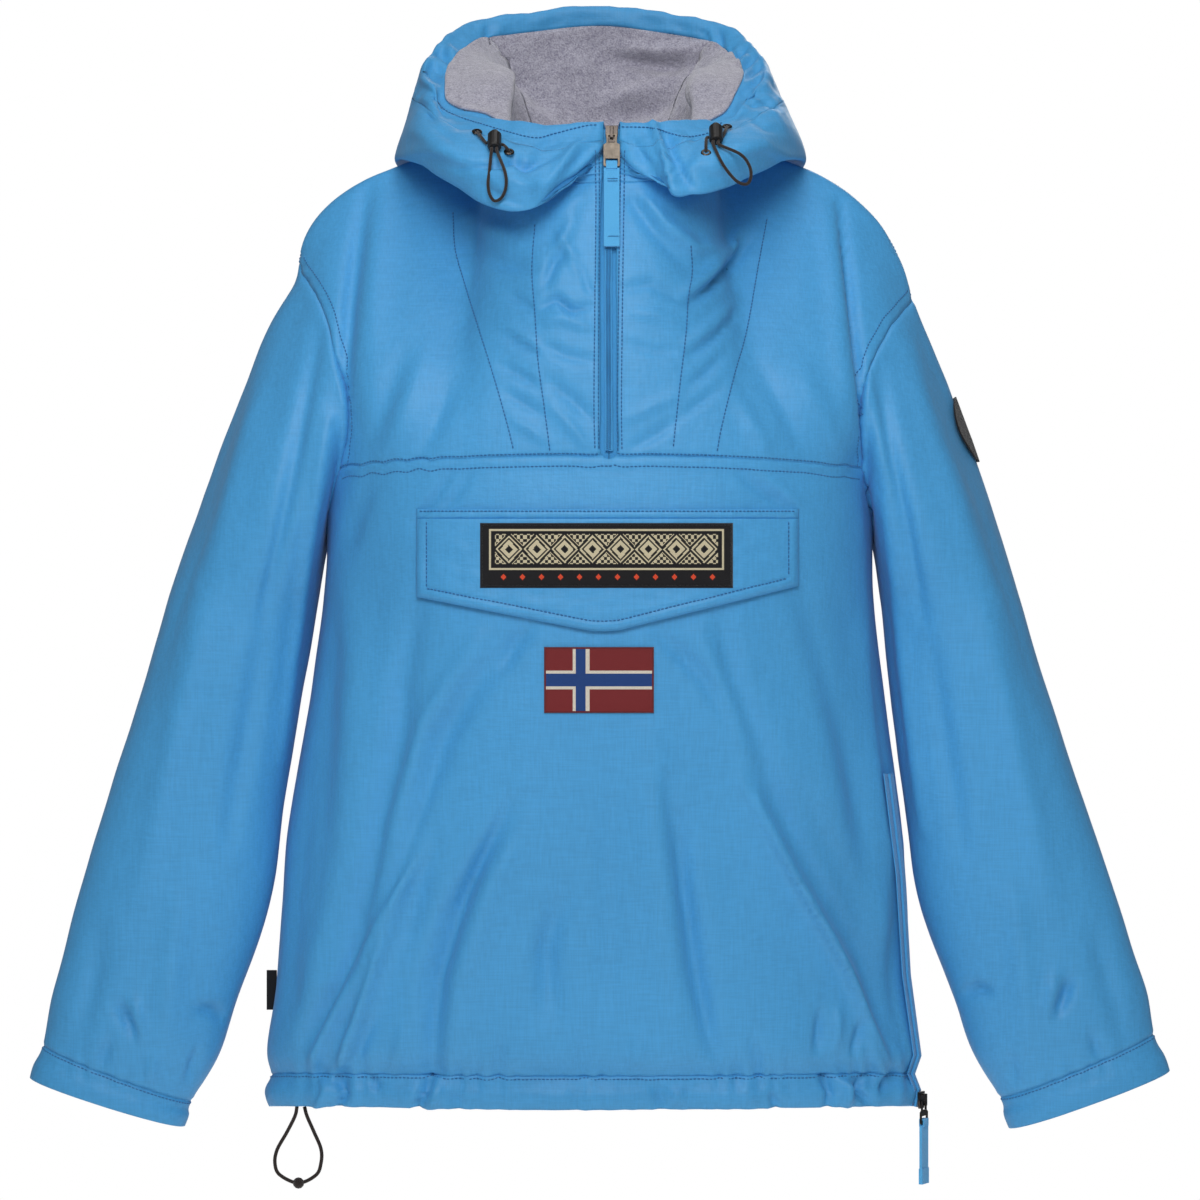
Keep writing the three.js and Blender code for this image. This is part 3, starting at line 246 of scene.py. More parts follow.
def fleece(name, light, dark):
    n = Nodes(name)
    a, b = linear(light), linear(dark)
    fleck = n.noise(760, detail=3, rough=0.7)
    tuft = n.noise(190, detail=3, rough=0.6)
    blend = n.math("ADD", n.math("MULTIPLY", fleck, 0.7), n.math("MULTIPLY", tuft, 0.3))
    tone = n.ramp(blend, [(0.36, b), (0.5, tuple((x + y) / 2 for x, y in zip(a, b))), (0.64, a)])
    bump = n.bump(tuft, 0.5, 0.0022)
    bump = n.bump(fleck, 0.75, 0.0011, bump)
    return n.done(tone, 0.96, bump, **lustre(0.15, 0.55, 0.6))


def woven(name, hexed, pitch=1500, rough=0.85, spread=0.25):
    n = Nodes(name)
    base = linear(hexed)
    rib = n.wave(pitch, "DIAGONAL", detail_scale=2)
    fuzz = n.noise(1300, detail=2)
    both = n.math("ADD", n.math("MULTIPLY", rib, 0.6), n.math("MULTIPLY", fuzz, 0.4))
    tone = n.ramp(both, [(0.2, scaled(base, 1 - spread)), (0.8, scaled(base, 1 + spread))])
    return n.done(tone, rough, n.bump(both, 0.5, 0.0004), **lustre(0.3, 0.2))


def plastic(name, hexed, rough=0.4):
    n = Nodes(name)
    base = linear(hexed)
    grain = n.noise(2400, detail=2)
    scuff = n.noise(120, detail=4)
    tone = n.ramp(scuff, [(0.35, scaled(base, 0.8)), (0.75, scaled(base, 1.35))])
    r = n.math("ADD", n.math("MULTIPLY", scuff, 0.25), rough - 0.1)
    return n.done(tone, r, n.bump(grain, 0.12, 0.0002), **{"Specular IOR Level": 0.5})


def metal(name, hexed, rough=0.3, brushed=(1, 1, 0.06)):
    n = Nodes(name)
    base = linear(hexed)
    lines = n.noise(2600, brushed, detail=3)
    wear = n.noise(160, detail=4)
    tone = n.ramp(wear, [(0.3, scaled(base, 0.75)), (0.7, scaled(base, 1.15))])
    r = n.math("ADD", n.math("MULTIPLY", lines, 0.3), rough - 0.13)
    return n.done(tone, r, n.bump(lines, 0.1, 0.0002), Metallic=1.0)


def braid(name, hexed):
    n = Nodes(name)
    base = linear(hexed)
    a = n.wave(620, "DIAGONAL")
    c = n.wave(620, "DIAGONAL", (-1, 1, 1))
    both = n.math("MULTIPLY", a, c)
    tone = n.ramp(both, [(0.0, scaled(base, 0.6)), (0.6, scaled(base, 1.5))])
    return n.done(tone, 0.7, n.bump(both, 0.6, 0.0004), **lustre(0.3, 0.2))


M = {
    "shell": nylon("shell_nylon", "4A9FD8"),
    "band": nylon("band_nylon", "489DD6", 0.52),
    "inside": nylon("inside_nylon", "2F7FBB", 0.6, 0.6),
    "fleece": fleece("fleece_heather", "BFBDCB", "827F92"),
    # Thread colour with painted shade: the blue is darker than the thread's own, standing for the shade in the stitch
    # grooves
    "thread_painted_shade": woven("thread_blue_painted_shade", "256FAA", 3000, 0.7),
    "tape": woven("zip_tape_blue", "469DD8", 900),
    "webbing": woven("webbing_blue", "58B2EA", 1100, 0.75, 0.14),
    "coil": plastic("zip_coil_blue", "226BA5", 0.5),
    "black": woven("woven_black", "121115", 1600),
    "beige": woven("woven_beige", "CFC4A4", 1600),
    "orange": woven("woven_orange", "DE4B2C", 1600),
    "red": woven("woven_red", "7A2629", 1500),
    "white": woven("woven_white", "DDD5C6", 1500),
    "navy": woven("woven_navy", "1F4280", 1500),
    "border": woven("woven_border", "6C1F24", 1900),
    "cord": braid("cord_braid", "2B211D"),
    "plastic": plastic("lock_plastic", "1B1918", 0.38),
    "nickel": metal("pull_nickel", "6A6259", 0.46),
    "gunmetal": metal("slider_metal", "4B4541", 0.34, (1, 1, 1)),
}


# ---------------------------------------------------------------- mesh helpers
def make(name, verts, faces, mats, body=BODY, indices=None):
    me = bpy.data.meshes.new(name)
    me.from_pydata([tuple(v) for v in verts], [], [tuple(int(i) for i in f) for f in faces])
    for m in mats:
        me.materials.append(M[m])
    if indices is not None:
        me.polygons.foreach_set("material_index", np.asarray(indices, np.int32))
    me.polygons.foreach_set("use_smooth", np.ones(len(me.polygons), bool))
    me.update()
    ob = bpy.data.objects.new(name, me)
    scene.collection.objects.link(ob)
    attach(ob, body)
    return ob


def kd_tree(points):
    tree = KDTree(len(points))
    for i, p in enumerate(points):
        tree.insert(p, i)
    tree.balance()
    return tree


def arrays(me):
    """A mesh's points and normals."""
    out = []
    for kind in ("co", "normal"):
        a = np.empty(len(me.vertices) * 3, np.float32)
        me.vertices.foreach_get(kind, a)
        out.append(a.reshape(-1, 3).astype(float))
    return out


def grid_faces(rows, cols, flip=False):
    out = []
    for j in range(rows - 1):
        for i in range(cols - 1):
            q = (j * cols + i, j * cols + i + 1, (j + 1) * cols + i + 1, (j + 1) * cols + i)
            out.append(q[::-1] if flip else q)
    return out


def wall_faces(rows, cols):
    """Faces of a wall between an outer and an inner grid, with its four edges."""
    n = rows * cols
    faces = grid_faces(rows, cols, flip=True) + [tuple(i + n for i in f) for f in grid_faces(rows, cols)]
    ring = [i for i in range(cols)] + [(j * cols + cols - 1) for j in range(1, rows)]
    ring += [(rows - 1) * cols + i for i in range(cols - 2, -1, -1)] + [j * cols for j in range(rows - 2, 0, -1)]
    return faces + [(b + n, a + n, a, b) for a, b in zip(ring, ring[1:] + ring[:1])]


def ring_faces(base, rings, sides, flip=False):
    """Faces round a row of rings that starts at vertex base, with both ends closed."""
    rows = [[base + j * sides + k for k in range(sides)] for j in range(rings)]
    out = [(a[k], a[(k + 1) % sides], b[(k + 1) % sides], b[k]) for a, b in zip(rows, rows[1:]) for k in range(sides)]
    out += [tuple(reversed(rows[0])), tuple(rows[-1])]
    return [f[::-1] for f in out] if flip else out


def quad_edges(q):
    return np.concatenate([q[:, [0, 1]], q[:, [1, 2]], q[:, [2, 3]], q[:, [3, 0]]])


def smooth_path(points, step=0.0012):
    """A smooth run through the given points."""
    ext = [points[0] * 2 - points[1], *points, points[-1] * 2 - points[-2]]
    out = []
    for i in range(1, len(ext) - 2):
        p0, p1, p2, p3 = ext[i - 1:i + 3]
        n = max(2, int((p2 - p1).length / step))
        for k in range(n):
            t = k / n
            out.append(0.5 * (2 * p1 + (p2 - p0) * t + (2 * p0 - 5 * p1 + 4 * p2 - p3) * t * t
                              + (3 * p1 - p0 - 3 * p2 + p3) * t ** 3))
    out.append(points[-1])
    return out


# ---------------------------------------------------------------- cloth surface
SIDES = ("left", "right")
YOKES = ["yoke_left", "yoke_right"]
SLEEVES = ["sleeve_left", "cuff_left", "sleeve_right", "cuff_right"]
HOOD_SHELLS = ["hood_left", "hood_center", "hood_right"]
HOOD_PANELS = [*HOOD_SHELLS, "hood_rim"]
LININGS = ["hood_lining_left", "hood_lining_center", "hood_lining_right"]
SHEETS = ["front_lower", *YOKES, "back", "hem_front", "hem_back", *SLEEVES, *HOOD_PANELS, *LININGS]
WALLS = {"hood_rim": 0.0022, **{n: 0.0024 for n in LININGS}}    # thickness of the CAD walls, where not usual
USUAL_WALL = 0.0026
SAME = 2e-5                     # how far two points or lengths of the CAD may differ
LEVELS = 3                      # of subdivision
WELD, WELD_LINING = 0.0009, 0.0032      # points of two sheets that are nearer become one seam
FIT_STEPS, FIT_LIMIT, FIT_SHARE = 2, 0.006, 0.8


def visible_face(name):
    """The outer (or, on a lining, the inner) face of a CAD wall as points and triangles."""
    bm = bmesh.new()
    bm.from_mesh(NODES[name].data)
    bmesh.ops.remove_doubles(bm, verts=bm.verts, dist=SAME)
    bmesh.ops.triangulate(bm, faces=bm.faces)
    thick = WALLS.get(name, USUAL_WALL)
    wall = [f for f in bm.faces if min(abs(e.calc_length() - thick) for e in f.edges) < SAME]
    bmesh.ops.delete(bm, geom=wall, context="FACES_ONLY")
    islands, done = [], set()
    bm.faces.ensure_lookup_table()
    for f in bm.faces:
        if f.index in done:
            continue
        stack, isle = [f], []
        done.add(f.index)
        while stack:
            g = stack.pop()
            isle.append(g)
            for e in g.edges:
                for h in e.link_faces:
                    if h.index not in done:
                        done.add(h.index)
                        stack.append(h)
        islands.append(isle)
    islands.sort(key=len, reverse=True)
    two = sorted(islands[:2], key=lambda isle: sum(f.calc_area() for f in isle), reverse=name not in LININGS)
    points, index, tris = [], {}, []
    for f in two[0]:
        t = []
        for v in f.verts:
            if v.index not in index:
                index[v.index] = len(points)
                points.append(v.co.copy())
            t.append(index[v.index])
        tris.append(t)
    bm.free()
    return points, tris


all_points, all_tris, owner, sheet_of = [], [], [], []
for k, name in enumerate(SHEETS):
    pts, tris = visible_face(name)
    base = len(all_points)
    all_points += pts
    sheet_of += [name] * len(pts)
    all_tris += [[i + base for i in t] for t in tris]
    owner += [k] * len(tris)

tree = kd_tree(all_points)
group, welded = [-1] * len(all_points), []
for i, p in enumerate(all_points):
    if group[i] >= 0:
        continue
    near = [j for _, j, d in tree.find_range(p, WELD_LINING if sheet_of[i] in LININGS else WELD)
            if group[j] < 0 and (d < WELD or sheet_of[j] != sheet_of[i])]
    for j in near:
        group[j] = len(welded)
    welded.append(sum((all_points[j] for j in near), Vector()) / len(near))

bm = bmesh.new()
bverts = [bm.verts.new(p) for p in welded]
for t, k in zip(all_tris, owner):
    ids = [group[i] for i in t]
    if len(set(ids)) < 3:
        continue
    try:
        bm.faces.new([bverts[i] for i in ids]).material_index = k
    except ValueError:
        pass
bmesh.ops.join_triangles(bm, faces=bm.faces, cmp_materials=True,
                         angle_face_threshold=3.14, angle_shape_threshold=3.14)
base_mesh = bpy.data.meshes.new("base")
bm.to_mesh(base_mesh)
bm.free()
base_ob = bpy.data.objects.new("base", base_mesh)
scene.collection.objects.link(base_ob)
mod = base_ob.modifiers.new("smooth", "SUBSURF")
mod.levels = mod.render_levels = LEVELS
goal = arrays(base_mesh)[0]
cage = goal.copy()


def evaluated_base():
    base_mesh.vertices.foreach_set("co", cage.ravel())
    base_mesh.update()
    base_ob.update_tag()
    dg = bpy.context.evaluated_depsgraph_get()
    dg.update()
    return base_ob.evaluated_get(dg)


# The cage is moved until its smooth surface passes through the CAD's own points.
for _ in range(FIT_STEPS):
    smooth_ob = evaluated_base()
    miss = goal - arrays(smooth_ob.to_mesh())[0][:len(goal)]
    smooth_ob.to_mesh_clear()
    cage += np.clip(miss, -FIT_LIMIT, FIT_LIMIT) * FIT_SHARE
fine = bpy.data.meshes.new_from_object(evaluated_base())
bpy.data.objects.remove(base_ob)
co, no = arrays(fine)
quads = np.empty(len(fine.polygons) * 4, np.int32)
fine.polygons.foreach_get("vertices", quads)
quads = quads.reshape(-1, 4)
mat = np.empty(len(fine.polygons), np.int32)
fine.polygons.foreach_get("material_index", mat)
piece_quads = {n: quads[mat == k] for k, n in enumerate(SHEETS)}
member = {n: np.zeros(len(co), bool) for n in SHEETS}
for n, q in piece_quads.items():
    member[n][q.ravel()] = True


def any_of(names):
    m = np.zeros(len(co), bool)
    for n in [names] if isinstance(names, str) else names:
        m |= member[n]
    return m


def vertex_normals(p):
    a, b, c, d = (p[quads[:, i]] for i in range(4))
    f = np.cross(c - a, d - b)
    out = np.zeros_like(p)
    for i in range(4):
        np.add.at(out, quads[:, i], f)
    return out / (np.linalg.norm(out, axis=1, keepdims=True) + 1e-12)


def smoothstep(x, lo, hi):
    t = np.clip((x - lo) / (hi - lo), 0, 1)
    return t * t * (3 - 2 * t)


# ---------------------------------------------------------------- folds
# The folds are given in the sighting grid. Each row has how far a fold reaches across, its height
# in mm (a trough is negative) and how much sharper its right-hand side is than its left-hand side, and
# after the bar the points of its line.
def folds(text):
    out = []
    for row in text.strip().splitlines():
        numbers, line = row.split(" | ")
        out.append(([tuple(map(float, p.split(","))) for p in line.split()], *map(float, numbers.split())))
    return out


FRONT_FOLDS = folds("""
17 -3.6 0.9 | 400,700 385,800 372,880 352,960
7 3 0.45 | 425,847 393,898 356,963 314,1056
6 2.4 0.5 | 384,940 365,1001 342,1060
13 -3.6 0.8 | 528,800 481,861 449,917 430,982 430,1061
11 -2 1 | 565,894 547,950 556,1019
10 -2.4 0.7 | 682,819 686,894 700,982 710,1047
20 -3.4 1 | 803,800 849,880 882,973 893,1030
6 2.6 0.45 | 756,796 789,866 831,940 868,1019 891,1066
20 -3 1 | 850,620 858,720 866,820 878,900
20 -3 1 | 330,620 322,720 318,820 308,920
15 -3.4 1 | 512,640 470,690 438,745 420,830 408,930
13 2.6 0.7 | 478,640 425,720 392,820 372,930 350,1060
10 2.4 0.6 | 440,780 412,860 388,930 347,1060
9 -3.2 0.6 | 508,800 466,890 440,975 430,1072
16 2.6 1 | 530,790 490,880 462,970 450,1060
9 2 0.6 | 387,925 350,990 311,1060
9 -2.2 1 | 372,930 338,990 300,1050
11 -1.8 1 | 552,905 545,960 542,1015
13 -1.4 1 | 612,790 610,900 608,1020
9 -2.6 0.7 | 667,780 680,880 692,970 714,1055
18 2.2 1 | 650,740 656,840 664,940 676,1050
8 2.8 0.55 | 740,780 790,870 845,968 880,1068
11 -2.4 1 | 757,770 808,862 862,955 893,1040
12 -2.6 1 | 722,625 732,680 760,750 790,820
9 -2.6 0.8 | 657,634 680,654 703,676 735,730
8 -2.2 1 | 530,628 515,645 502,668
14 2 1 | 700,640 730,700 765,780
13 -2.2 1 | 418,600 402,680 398,760
14 -2 1 | 800,590 830,680 858,780 880,880
16 1.8 1 | 345,560 352,650 345,760 330,880
8 -3 0.6 | 868,480 874,560 880,680 896,830
6 -1.3 0.8 | 450,474 432,500 415,522
6 -1.1 0.8 | 470,474 452,498 440,508
6 -1.3 0.8 | 741,476 765,495 786,506
6 1 0.8 | 760,474 785,492 800,505
10 -1.3 1 | 370,480 355,520 345,560
13 -2.2 1 | 300,700 296,800 290,900 292,1000
12 1.6 1 | 330,880 316,960 300,1040
9 -2.4 1 | 902,860 900,940 904,1040
5 -2.8 0.6 | 820,1012 816,1050
5 2 0.8 | 838,1010 836,1046
5 -2.4 0.6 | 862,1020 852,1052
6 -2.4 0.6 | 370,1022 350,1070
5 1.8 0.8 | 350,1032 338,1072
6 1.6 0.8 | 402,1030 396,1072
6 -1.6 0.8 | 500,1040 498,1074
6 -1.8 0.8 | 580,1034 584,1074
6 1.5 0.8 | 640,1038 636,1074
6 -1.6 0.8 | 752,1036 758,1074
""")
YOKE_FOLDS = folds("""
9 -3 0.8 | 366,190 356,250 348,310 343,370 341,440
14 1.8 1 | 382,205 374,280 368,350
6 -4 0.55 | 839,202 846,262 853,325 861,395 868,470
12 2.2 1 | 828,215 836,290 845,370 852,440
11 -1.8 1 | 450,384 436,420 418,455
12 -1.8 1 | 400,365 384,405 366,450
12 1.5 1 | 428,350 410,395 392,445
11 -1.8 1 | 759,369 784,408 806,452
9 1.5 1 | 738,400 752,425 768,452
12 1.4 1 | 800,370 822,410 838,450
5 -1.5 0.7 | 504,292 520,302 535,313
5 1.4 0.7 | 498,322 518,334 537,346
4.5 -1.5 0.7 | 503,333 520,344 538,354
5 -1.6 0.7 | 499,366 520,376 540,388
5 -1.4 0.7 | 505,394 522,403 543,415
5 1.3 0.7 | 512,420 530,430 548,443
8 -1.6 0.8 | 470,250 500,262 530,268
10 2 1 | 463,210 485,228 515,238
6 -2.2 0.7 | 566,246 553,262 545,284
6 2 0.7 | 560,236 575,262 590,286
5 -2.4 0.6 | 572,258 582,272 590,292
5 -2.6 0.6 | 541,308 556,300 572,312 590,307
6 1.6 0.8 | 545,322 562,318 588,328
6 -1.3 0.8 | 542,345 566,356 596,362
7 -1.5 0.8 | 546,380 570,398 592,420
6 1.3 0.8 | 552,408 572,428 590,450
7 1.8 0.8 | 575,215 566,235 556,250
6 -1.4 0.8 | 625,290 650,284 684,302
6 1.1 0.8 | 632,312 655,316 682,326
6 -1 0.8 | 628,345 655,352 680,352
6 -1.3 0.8 | 632,448 655,436 678,420
6 1 0.8 | 626,420 650,408 678,396
6 -3.2 0.6 | 690,304 712,288 732,266 748,240
7 3 0.8 | 688,292 708,276 728,252 742,232
5 -2 0.7 | 690,355 712,340 734,318
6 1.8 0.8 | 688,344 710,328 736,300
5 -1.5 0.7 | 688,386 708,372 728,352
5 -1.2 0.7 | 684,415 702,402 722,388
9 3 0.8 | 625,170 641,196 664,226 694,248 735,250
8 -1.8 1 | 630,190 650,222 682,262
9 2 1 | 590,190 572,205 556,222
""")
HOOD_FOLDS = folds("""
7 2.2 0.8 | 392,160 420,150 446,152 470,166
5 -3.6 0.7 | 458,169 480,166 500,163 514,158 530,167 552,156
8 -1.8 0.9 | 420,112 440,128 458,142
7 1.8 0.9 | 409,128 430,140 450,150
4 -2.6 0.7 | 513,157 524,168 537,158
6 -3.6 0.7 | 597,158 580,176 560,190 545,206
6 3.2 0.8 | 586,138 572,152 558,168 546,186
5 2.4 0.8 | 600,146 586,160 572,176
7 -1.8 0.9 | 566,130 548,142 536,158
7 1.8 0.9 | 508,178 525,186 540,184
6 -1.8 0.8 | 480,186 500,198 525,206
5 4.4 0.5 | 650,121 658,140 666,162 673,186 690,198
5 -3.4 0.8 | 662,128 670,150 679,172 690,188
6 3 0.8 | 624,148 640,176 660,205 686,226
5 -2.6 0.8 | 632,138 648,168 664,192
6 2 0.9 | 676,190 700,196 724,197 748,193
7 -1.6 0.9 | 690,168 710,178 735,180
7 2.2 0.8 | 744,150 764,146 784,156 798,164
6 -1.8 0.8 | 752,118 766,126 784,132
4 -2.6 0.6 | 742,97 754,104 768,102 778,108
4 1.6 0.7 | 740,108 752,112 764,114
6 -1.6 0.9 | 700,135 690,150 682,168
""")
SLEEVE_FOLDS = folds("""
12 1.8 1 | 290,300 262,380 236,470 212,560
9 -2.6 0.8 | 318,330 300,420 282,520 262,620
8 2.2 0.8 | 328,420 312,520 296,640 282,760
12 -1.6 1 | 246,360 214,470 180,590 150,700
14 1.8 1 | 206,600 182,700 160,800 140,900
12 -2 1 | 262,640 246,740 228,840
6 -3.6 0.8 | 136,1035 128,1020 118,1004
7 1.8 0.8 | 146,1042 138,1022 134,1000
6 -3 0.8 | 226,1018 214,1010 198,1008
11 -1.6 1 | 100,930 94,980 78,1040
13 1.6 1 | 180,900 172,970 164,1040
6 -1.8 0.8 | 196,1052 188,1078
6 -1.6 0.8 | 108,1040 100,1066
6 1.4 0.8 | 152,1058 148,1084
12 1.8 1 | 905,330 922,400 950,480 980,570
9 -2.6 0.8 | 880,370 890,440 904,520 922,620
8 2.2 0.8 | 884,500 896,600 910,720 924,830
12 -1.6 1 | 946,380 978,480 1012,590 1042,700
14 1.8 1 | 985,610 1008,710 1030,810 1050,900
12 -2 1 | 928,640 944,740 962,850
6 -3.6 0.8 | 1057,1012 1066,996 1072,980
7 1.8 0.8 | 1046,1018 1052,998 1056,976
6 -3 0.8 | 961,995 976,990 992,992
11 -1.6 1 | 1098,930 1108,980 1124,1036
13 1.6 1 | 1014,900 1022,970 1030,1040
6 -1.8 0.8 | 1092,1036 1100,1060
6 -1.4 0.8 | 1010,1056 1014,1080
""")
RIM_FOLDS = folds("""
3.5 -2 0.8 | 703.6,30 709,44
3.5 1.8 0.8 | 710,29 716,47
3.5 -2.4 0.8 | 717,30 723,52
3.5 -2 0.8 | 733.7,46.6 722.8,59
3.5 2 0.8 | 740,48 728,61
3.5 -2.6 0.8 | 744.7,49.4 733.7,63
3.5 2.2 0.8 | 750,54 737,67
3.5 -2.8 0.8 | 755.6,57.6 739,71
3.5 2 0.8 | 760,62 743,75
3.5 -2.4 0.8 | 761,65.8 744.7,79.5
3.8 -2.4 0.8 | 764,79.5 744.7,87.7
3.5 1.8 0.8 | 766,73 747,84
4 -2 0.8 | 739,92 764,95
4 1.6 0.8 | 742,99 766,103
3.8 -2.8 0.8 | 423.9,71.3 443,82
4 2.2 0.8 | 419,77 438,92
3.6 -2 0.8 | 429,65.8 445.8,71.3
3.8 2 0.8 | 426,60 446,66
3.8 -2.6 0.8 | 437.6,49.4 448.5,63
4 1.8 0.8 | 446,44 454,57
4 -1.8 0.8 | 487,25 488,41
6 1.4 0.8 | 498,22 500,38
5 -1.4 0.8 | 556,16 553,30
4 -1.6 0.8 | 585.7,14 587,28.8
5 1.4 0.8 | 628,15 630,29
4 -1.5 0.8 | 655,18 652,31
4 -1.5 0.8 | 682,23 686,36
5 -2.4 0.8 | 412,100 424,108 436,118
4 1.8 0.8 | 424,96 436,108 450,118
4 1.6 0.8 | 740,60 726,74
""")
LINING_FOLDS = folds("""
3.6 -5.5 1 | 474,50 502,62 518,77 519.5,97 510,120
7 3.4 1 | 468,58 494,69 508,82 509,100 501,120
3.6 -3.4 1 | 481,67 490,73 500,88
4 -1.8 1 | 497,90 503,102 504,116
9 2.4 1 | 456,62 470,78 478,104
4.2 -5 1 | 706,63 693,89 688,127
6 2.8 1 | 716,66 704,90 699,122
4 -2.4 1 | 717,63 727,84 732,105
7.5 -4.6 1 | 622,61 660,66 705,61
7 2.4 1 | 618,50 660,52 700,50
7 -3.8 1 | 521,76 533,91 549,107
9 -3.4 1 | 691,86 651,108 599,119
15 3 1 | 560,54 582,74 592,104
9 2.4 1 | 660,84 635,94 605,100
""")
HEM_FOLDS = folds("""
4.5 -2.6 0.6 | 338,1078 344,1094 336,1108
5 1.8 0.8 | 322,1076 326,1092 318,1108
4.5 -1.8 0.7 | 372,1076 376,1090
4.5 -3.2 0.6 | 430,1074 425,1090 416,1108
5 2 0.8 | 440,1076 436,1092 430,1106
5 -1.8 0.7 | 452,1092 456,1106
5 -1.8 0.7 | 575,1088 572,1106
5 -2 0.7 | 655,1086 660,1106
5 1.6 0.8 | 675,1088 680,1104
5 -1.6 0.7 | 770,1092 776,1108
4.5 -3 0.6 | 822,1074 830,1092 826,1106
5 2.2 0.8 | 838,1078 848,1090 846,1104
4.5 -2.8 0.6 | 862,1074 856,1090 866,1102
5 -2 0.7 | 886,1078 880,1092
""")
# The pieces that each table is for, and what its heights are multiplied by.
FRONT = [
    (["front_lower"], FRONT_FOLDS, 1.0),
    (YOKES, YOKE_FOLDS, 1.0),
    (HOOD_PANELS, HOOD_FOLDS, 0.85),
    (HOOD_PANELS, RIM_FOLDS, 0.75),
    (LININGS, LINING_FOLDS, 1.0),
    (SLEEVES, SLEEVE_FOLDS, 1.0),
    (["hem_front"], HEM_FOLDS, 1.4),
]
# The back as seen from behind.
BACK_FOLDS = folds("""
14 -2.8 0.9 | 345,480 372,600 392,730 404,860
16 2.6 1 | 362,470 394,600 420,740 440,880 450,1050
12 -2.6 0.8 | 500,700 486,820 470,940 462,1060
20 -2.2 1 | 600,420 604,560 598,720 604,900 600,1060
11 -2.6 0.8 | 700,690 716,820 728,940 740,1060
16 2.2 1 | 660,640 668,780 680,920 688,1050
14 -2.8 0.9 | 850,480 826,600 806,720 794,850
15 2.6 1 | 836,470 800,610 778,750 760,900 752,1050
12 2 1 | 330,360 380,380 440,410 500,450
10 -2.2 0.9 | 332,400 390,424 452,470
12 2 1 | 872,390 820,402 760,430 700,470
10 -2.2 0.9 | 868,430 810,450 752,500
10 -2 0.9 | 470,190 500,220 560,240 620,242 690,224 730,192
14 1.8 1 | 440,240 500,270 580,290 660,284 740,250
12 -2.2 1 | 300,760 318,880 306,1010
12 -2.2 1 | 902,760 886,880 896,1010
""")
# x of each, how far its middle stands to the right, and its height.
BACK_HEM = [([(x, 1076), (x + d, 1092), (x + d * 0.4, 1110)], 5, h, 0.7) for x, d, h in (
    (300, 4, -2.2), (322, 3, 1.8), (352, -4, -2.4), (398, 3, 1.6), (441, 5, -2.2), (490, -3, -1.8), (533, 4, 1.7),
    (580, -4, -2.2), (624, 3, -1.7), (668, 5, 2.0), (702, -4, -2.4), (760, 3, -1.8), (801, -3, 2.0),
    (846, 4, -2.4), (880, 2, 1.8))]
# Behind, the sleeves have the same folds mirrored, moved a little and wider.
SLEEVE_BACK_FOLDS = [([(2 * MID_X - x - 4 * math.sin(x), y + 9) for x, y in line], w * 1.1, h * 0.9, sharp)
                     for line, w, h, sharp in SLEEVE_FOLDS]
BACK = [(["back"], BACK_FOLDS, 1.0), (["hem_back"], BACK_HEM, 1.0), (SLEEVES, SLEEVE_BACK_FOLDS, 1.0)]
FOLD_GAIN = 2.3
FADE_BOX = 3.2                  # beyond so many reaches a fold has no height


def fold_lift(u, v, table, gain):
    """How far the folds of a table lift each point, in metres."""
    lift = np.zeros(len(u))
    for line, reach, height, sharp in table:
        pts = np.array(line, float)
        lo, hi = pts.min(0) - reach * FADE_BOX, pts.max(0) + reach * FADE_BOX
        near = (u > lo[0]) & (u < hi[0]) & (v > lo[1]) & (v < hi[1])
        if not near.any():
            continue
        p = np.stack([u[near], v[near]], 1)
        best = np.full(len(p), 1e9)
        side = np.zeros(len(p))
        along = np.zeros(len(p))
        for i in range(len(pts) - 1):
            a, d = pts[i], pts[i + 1] - pts[i]
            t = np.clip(((p - a) @ d) / (d @ d), 0, 1)
            off = p - a - t[:, None] * d
            dist = np.hypot(off[:, 0], off[:, 1])
            s = np.sign(d[0] * off[:, 1] - d[1] * off[:, 0])
            better = dist < best
            best[better], side[better], along[better] = dist[better], s[better], (i + t[better]) / (len(pts) - 1)
        width = np.where(side > 0, reach * sharp, reach)
        fade = np.sin(math.pi * np.clip(along * 0.86 + 0.07, 0, 1)) ** 0.7
        lift[near] += height * gain * 0.001 * np.exp(-((best / width) ** 2)) * fade
    return lift


def noise_at(points, scale, seed=0.0, octaves=2):
    out = np.empty(len(points))
    for i, p in enumerate(points):
        v = Vector((p[0] * scale[0] + seed, p[1] * scale[1] - seed, p[2] * scale[2] + seed * 0.7))
        out[i] = mnoise.fractal(v, 1.0, 2.0, octaves)
    return out


# The corners of the hood's opening are drawn down and out: centre, shift and reach in sighting units.
HOOD_WARPS = [((466, 98), (-20, 9), 16), ((718, 108), (8, 6), 15)]
hood_zone = any_of(HOOD_PANELS + LININGS)
u, v = seen(co)
for (cu, cv), (du, dv), reach in HOOD_WARPS:
    w = np.exp(-((u - cu) ** 2 + (v - cv) ** 2) / (2 * reach * reach))
    w = w * hood_zone * (1 - smoothstep(co[:, 1], 0.0, 0.04))
    depth = (co[:, 1] - EYE.y) / -EYE.y
    co[:, 0] += du * UNIT * w * depth
    co[:, 2] -= dv * UNIT * w * depth

no = vertex_normals(co)
u, v = seen(co)
ub, vb = MID_X - co[:, 0] / UNIT, ORIGIN_Y - co[:, 2] / UNIT
lift = np.zeros(len(co))
facing, behind = np.clip(-no[:, 1] * 1.7, 0, 1), np.clip(no[:, 1] * 1.7, 0, 1)
for tables, (uu, vv), w in ((FRONT, (u, v), facing), (BACK, (ub, vb), behind)):
    for names, table, gain in tables:
        m = any_of(names)
        lift[m] += fold_lift(uu[m], vv[m], table, gain) * w[m] * FOLD_GAIN

